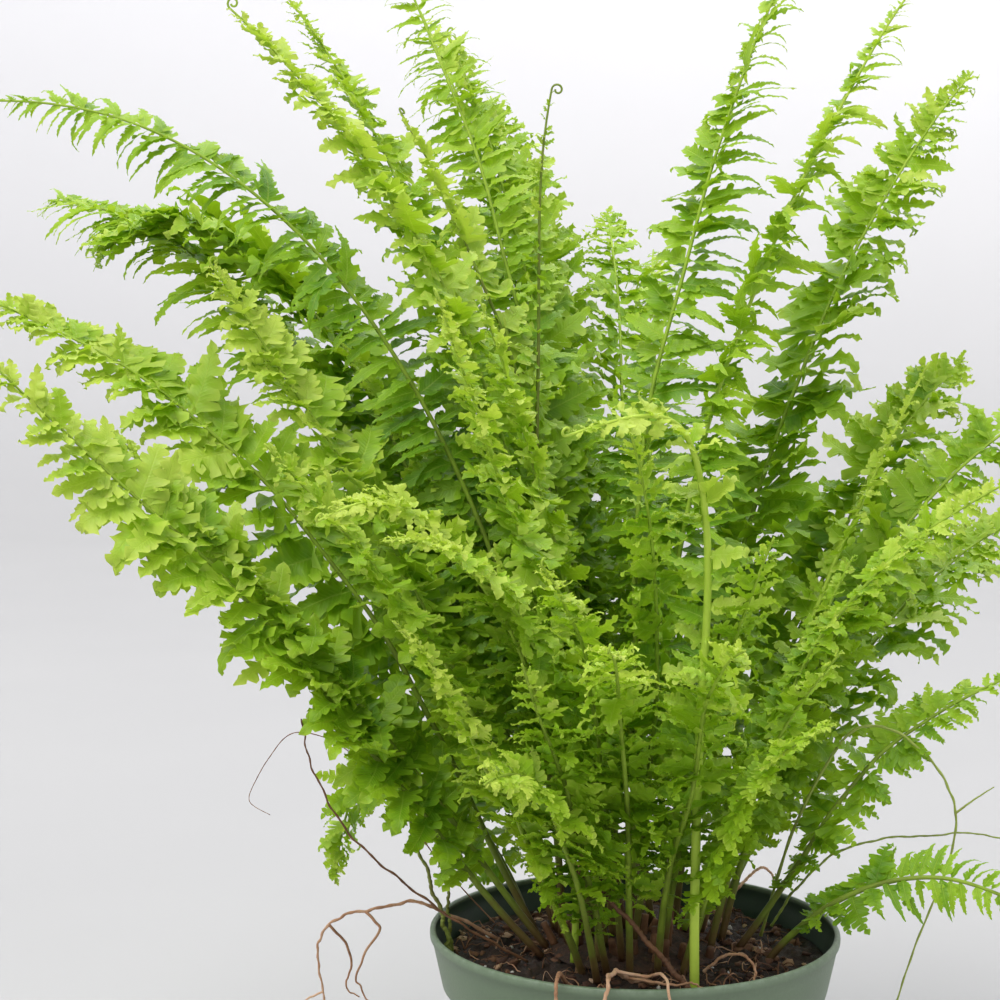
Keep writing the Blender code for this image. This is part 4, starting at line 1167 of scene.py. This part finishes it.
# finer roots and a loop that belong with the ones above
EXTRA = {
    "root_loop": ([(22, -40, 109), (29, -44, 116), (36, -48, 117), (39, -52, 112), (36, -56, 107), (30, -60, 104.5)], 0.6, "dry"),
    "root_far_left": ([(-52, 30, 106), (-70, 36, 124), (-90, 40, 150), (-110, 42, 172), (-130, 44, 178), (-140, 44, 168), (-146, 44, 158), (-148, 44, 150), (-140, 44, 145)], 0.26, "dry"),
    "shoot_left": ([(-68.5, 0, 102.5), (-70.5, 0, 114), (-77.5, 1, 135), (-86, 2, 160)], 1.0, "green"),
    "shoot_left_short": ([(-68, 3, 102.5), (-69, 3, 116), (-70, 3, 135), (-73, 4, 160)], 0.8, "green"),
    "root_back": ([(-10, 52, 106), (-14, 66, 113), (-16, 76, 118), (-18, 81, 113), (-20, 82, 100), (-18, 81, 86)], 0.8, "dry"),
    "root_back_right": ([(34, 42, 106), (44, 54, 112), (54, 64, 118), (60, 70, 115), (62, 72, 104), (60, 71, 92)], 0.7, "dry"),
}
for name, (pts, r, tone) in EXTRA.items():
    wire_piece(name, through(pts, 40), r / 1000, dry_wire if tone == "dry" else green_wire)

# ---------------------------------------------------------------- floor and light
def backdrop():
    """A round pale floor that sweeps up into a wall on every side, painted lighter and glowing more with height."""
    g = Graph("backdrop_paper_painted_light")
    pos = g.nt.nodes.new("ShaderNodeSeparateXYZ")
    g.link(g.coords(), pos.inputs[0])
    up = g.math("MULTIPLY", pos.outputs["Z"], 0.9, clamp=True)
    paper = g.ramp(g.noise(3.0, 2.0), [(0.3, (0.408, 0.407, 0.415)), (0.7, (0.422, 0.421, 0.428))])
    # painted light: the backdrop's colour is painted lighter with height, from the floor up the wall
    g.link(g.mix(up, paper, (0.68, 0.675, 0.69)), g.shader.inputs["Base Color"])
    g.shader.inputs["Roughness"].default_value = 0.9
    # painted light: the wall glows by emission that grows with height, though it is no lamp
    g.shader.inputs["Emission Color"].default_value = (0.97, 0.965, 1.0, 1)
    g.link(g.math("MULTIPLY", up, 0.25), g.shader.inputs["Emission Strength"])
    prof = [(r, 0.0) for r in (0.3, 0.8, 1.5, 2.4)] + [(2.4 + 1.6 * math.sin(a), 1.6 - 1.6 * math.cos(a)) for a in np.linspace(0, math.pi / 2, 22)[1:]] + [(4.0, 3.2)]
    steps = 96
    ang = np.linspace(0, 2 * math.pi, steps, endpoint=False)
    verts = [(r * math.cos(t), r * math.sin(t), z - 0.0002) for r, z in prof for t in ang] + [(0, 0, -0.0002)]
    i = np.arange(len(prof) - 1)[:, None] * steps
    j = np.arange(steps)[None]
    j2 = (j + 1) % steps
    quads = np.stack([i + j, i + j2, i + steps + j2, i + steps + j], -1).reshape(-1, 4)[:, ::-1]
    tris = np.stack([np.full(steps, len(verts) - 1), np.arange(steps), (np.arange(steps) + 1) % steps], -1)
    obj = new_object("backdrop", verts, [quads, tris], [g.mat], body=None)
    return obj


backdrop()


def sky_lamp(name, place, power, spread, colour=(1, 1, 1)):
    data = bpy.data.lights.new(name, "SUN")
    data.energy = power
    data.angle = math.radians(spread)
    data.color = colour
    obj = bpy.data.objects.new(name, data)
    bpy.context.scene.collection.objects.link(obj)
    obj.location = place
    obj.rotation_euler = (-Vector(place)).to_track_quat("-Z", "Y").to_euler()
    return obj


sky_lamp("key", (-0.7, -0.75, 1.7), 2.35, 42, (1.0, 0.99, 0.955))
sky_lamp("back", (0.35, 0.9, 1.6), 1.75, 50, (1.0, 0.995, 0.97))

world = bpy.data.worlds.new("studio")
bpy.context.scene.world = world
world.use_nodes = True
world.node_tree.nodes["Background"].inputs["Color"].default_value = (0.93, 0.95, 1.0, 1)
world.node_tree.nodes["Background"].inputs["Strength"].default_value = 0.60
bpy.context.scene.view_settings.view_transform = "Standard"
bpy.context.scene.view_settings.look = "None"
bpy.context.scene.view_settings.exposure = 0.0
bpy.context.scene.view_settings.gamma = 1.0
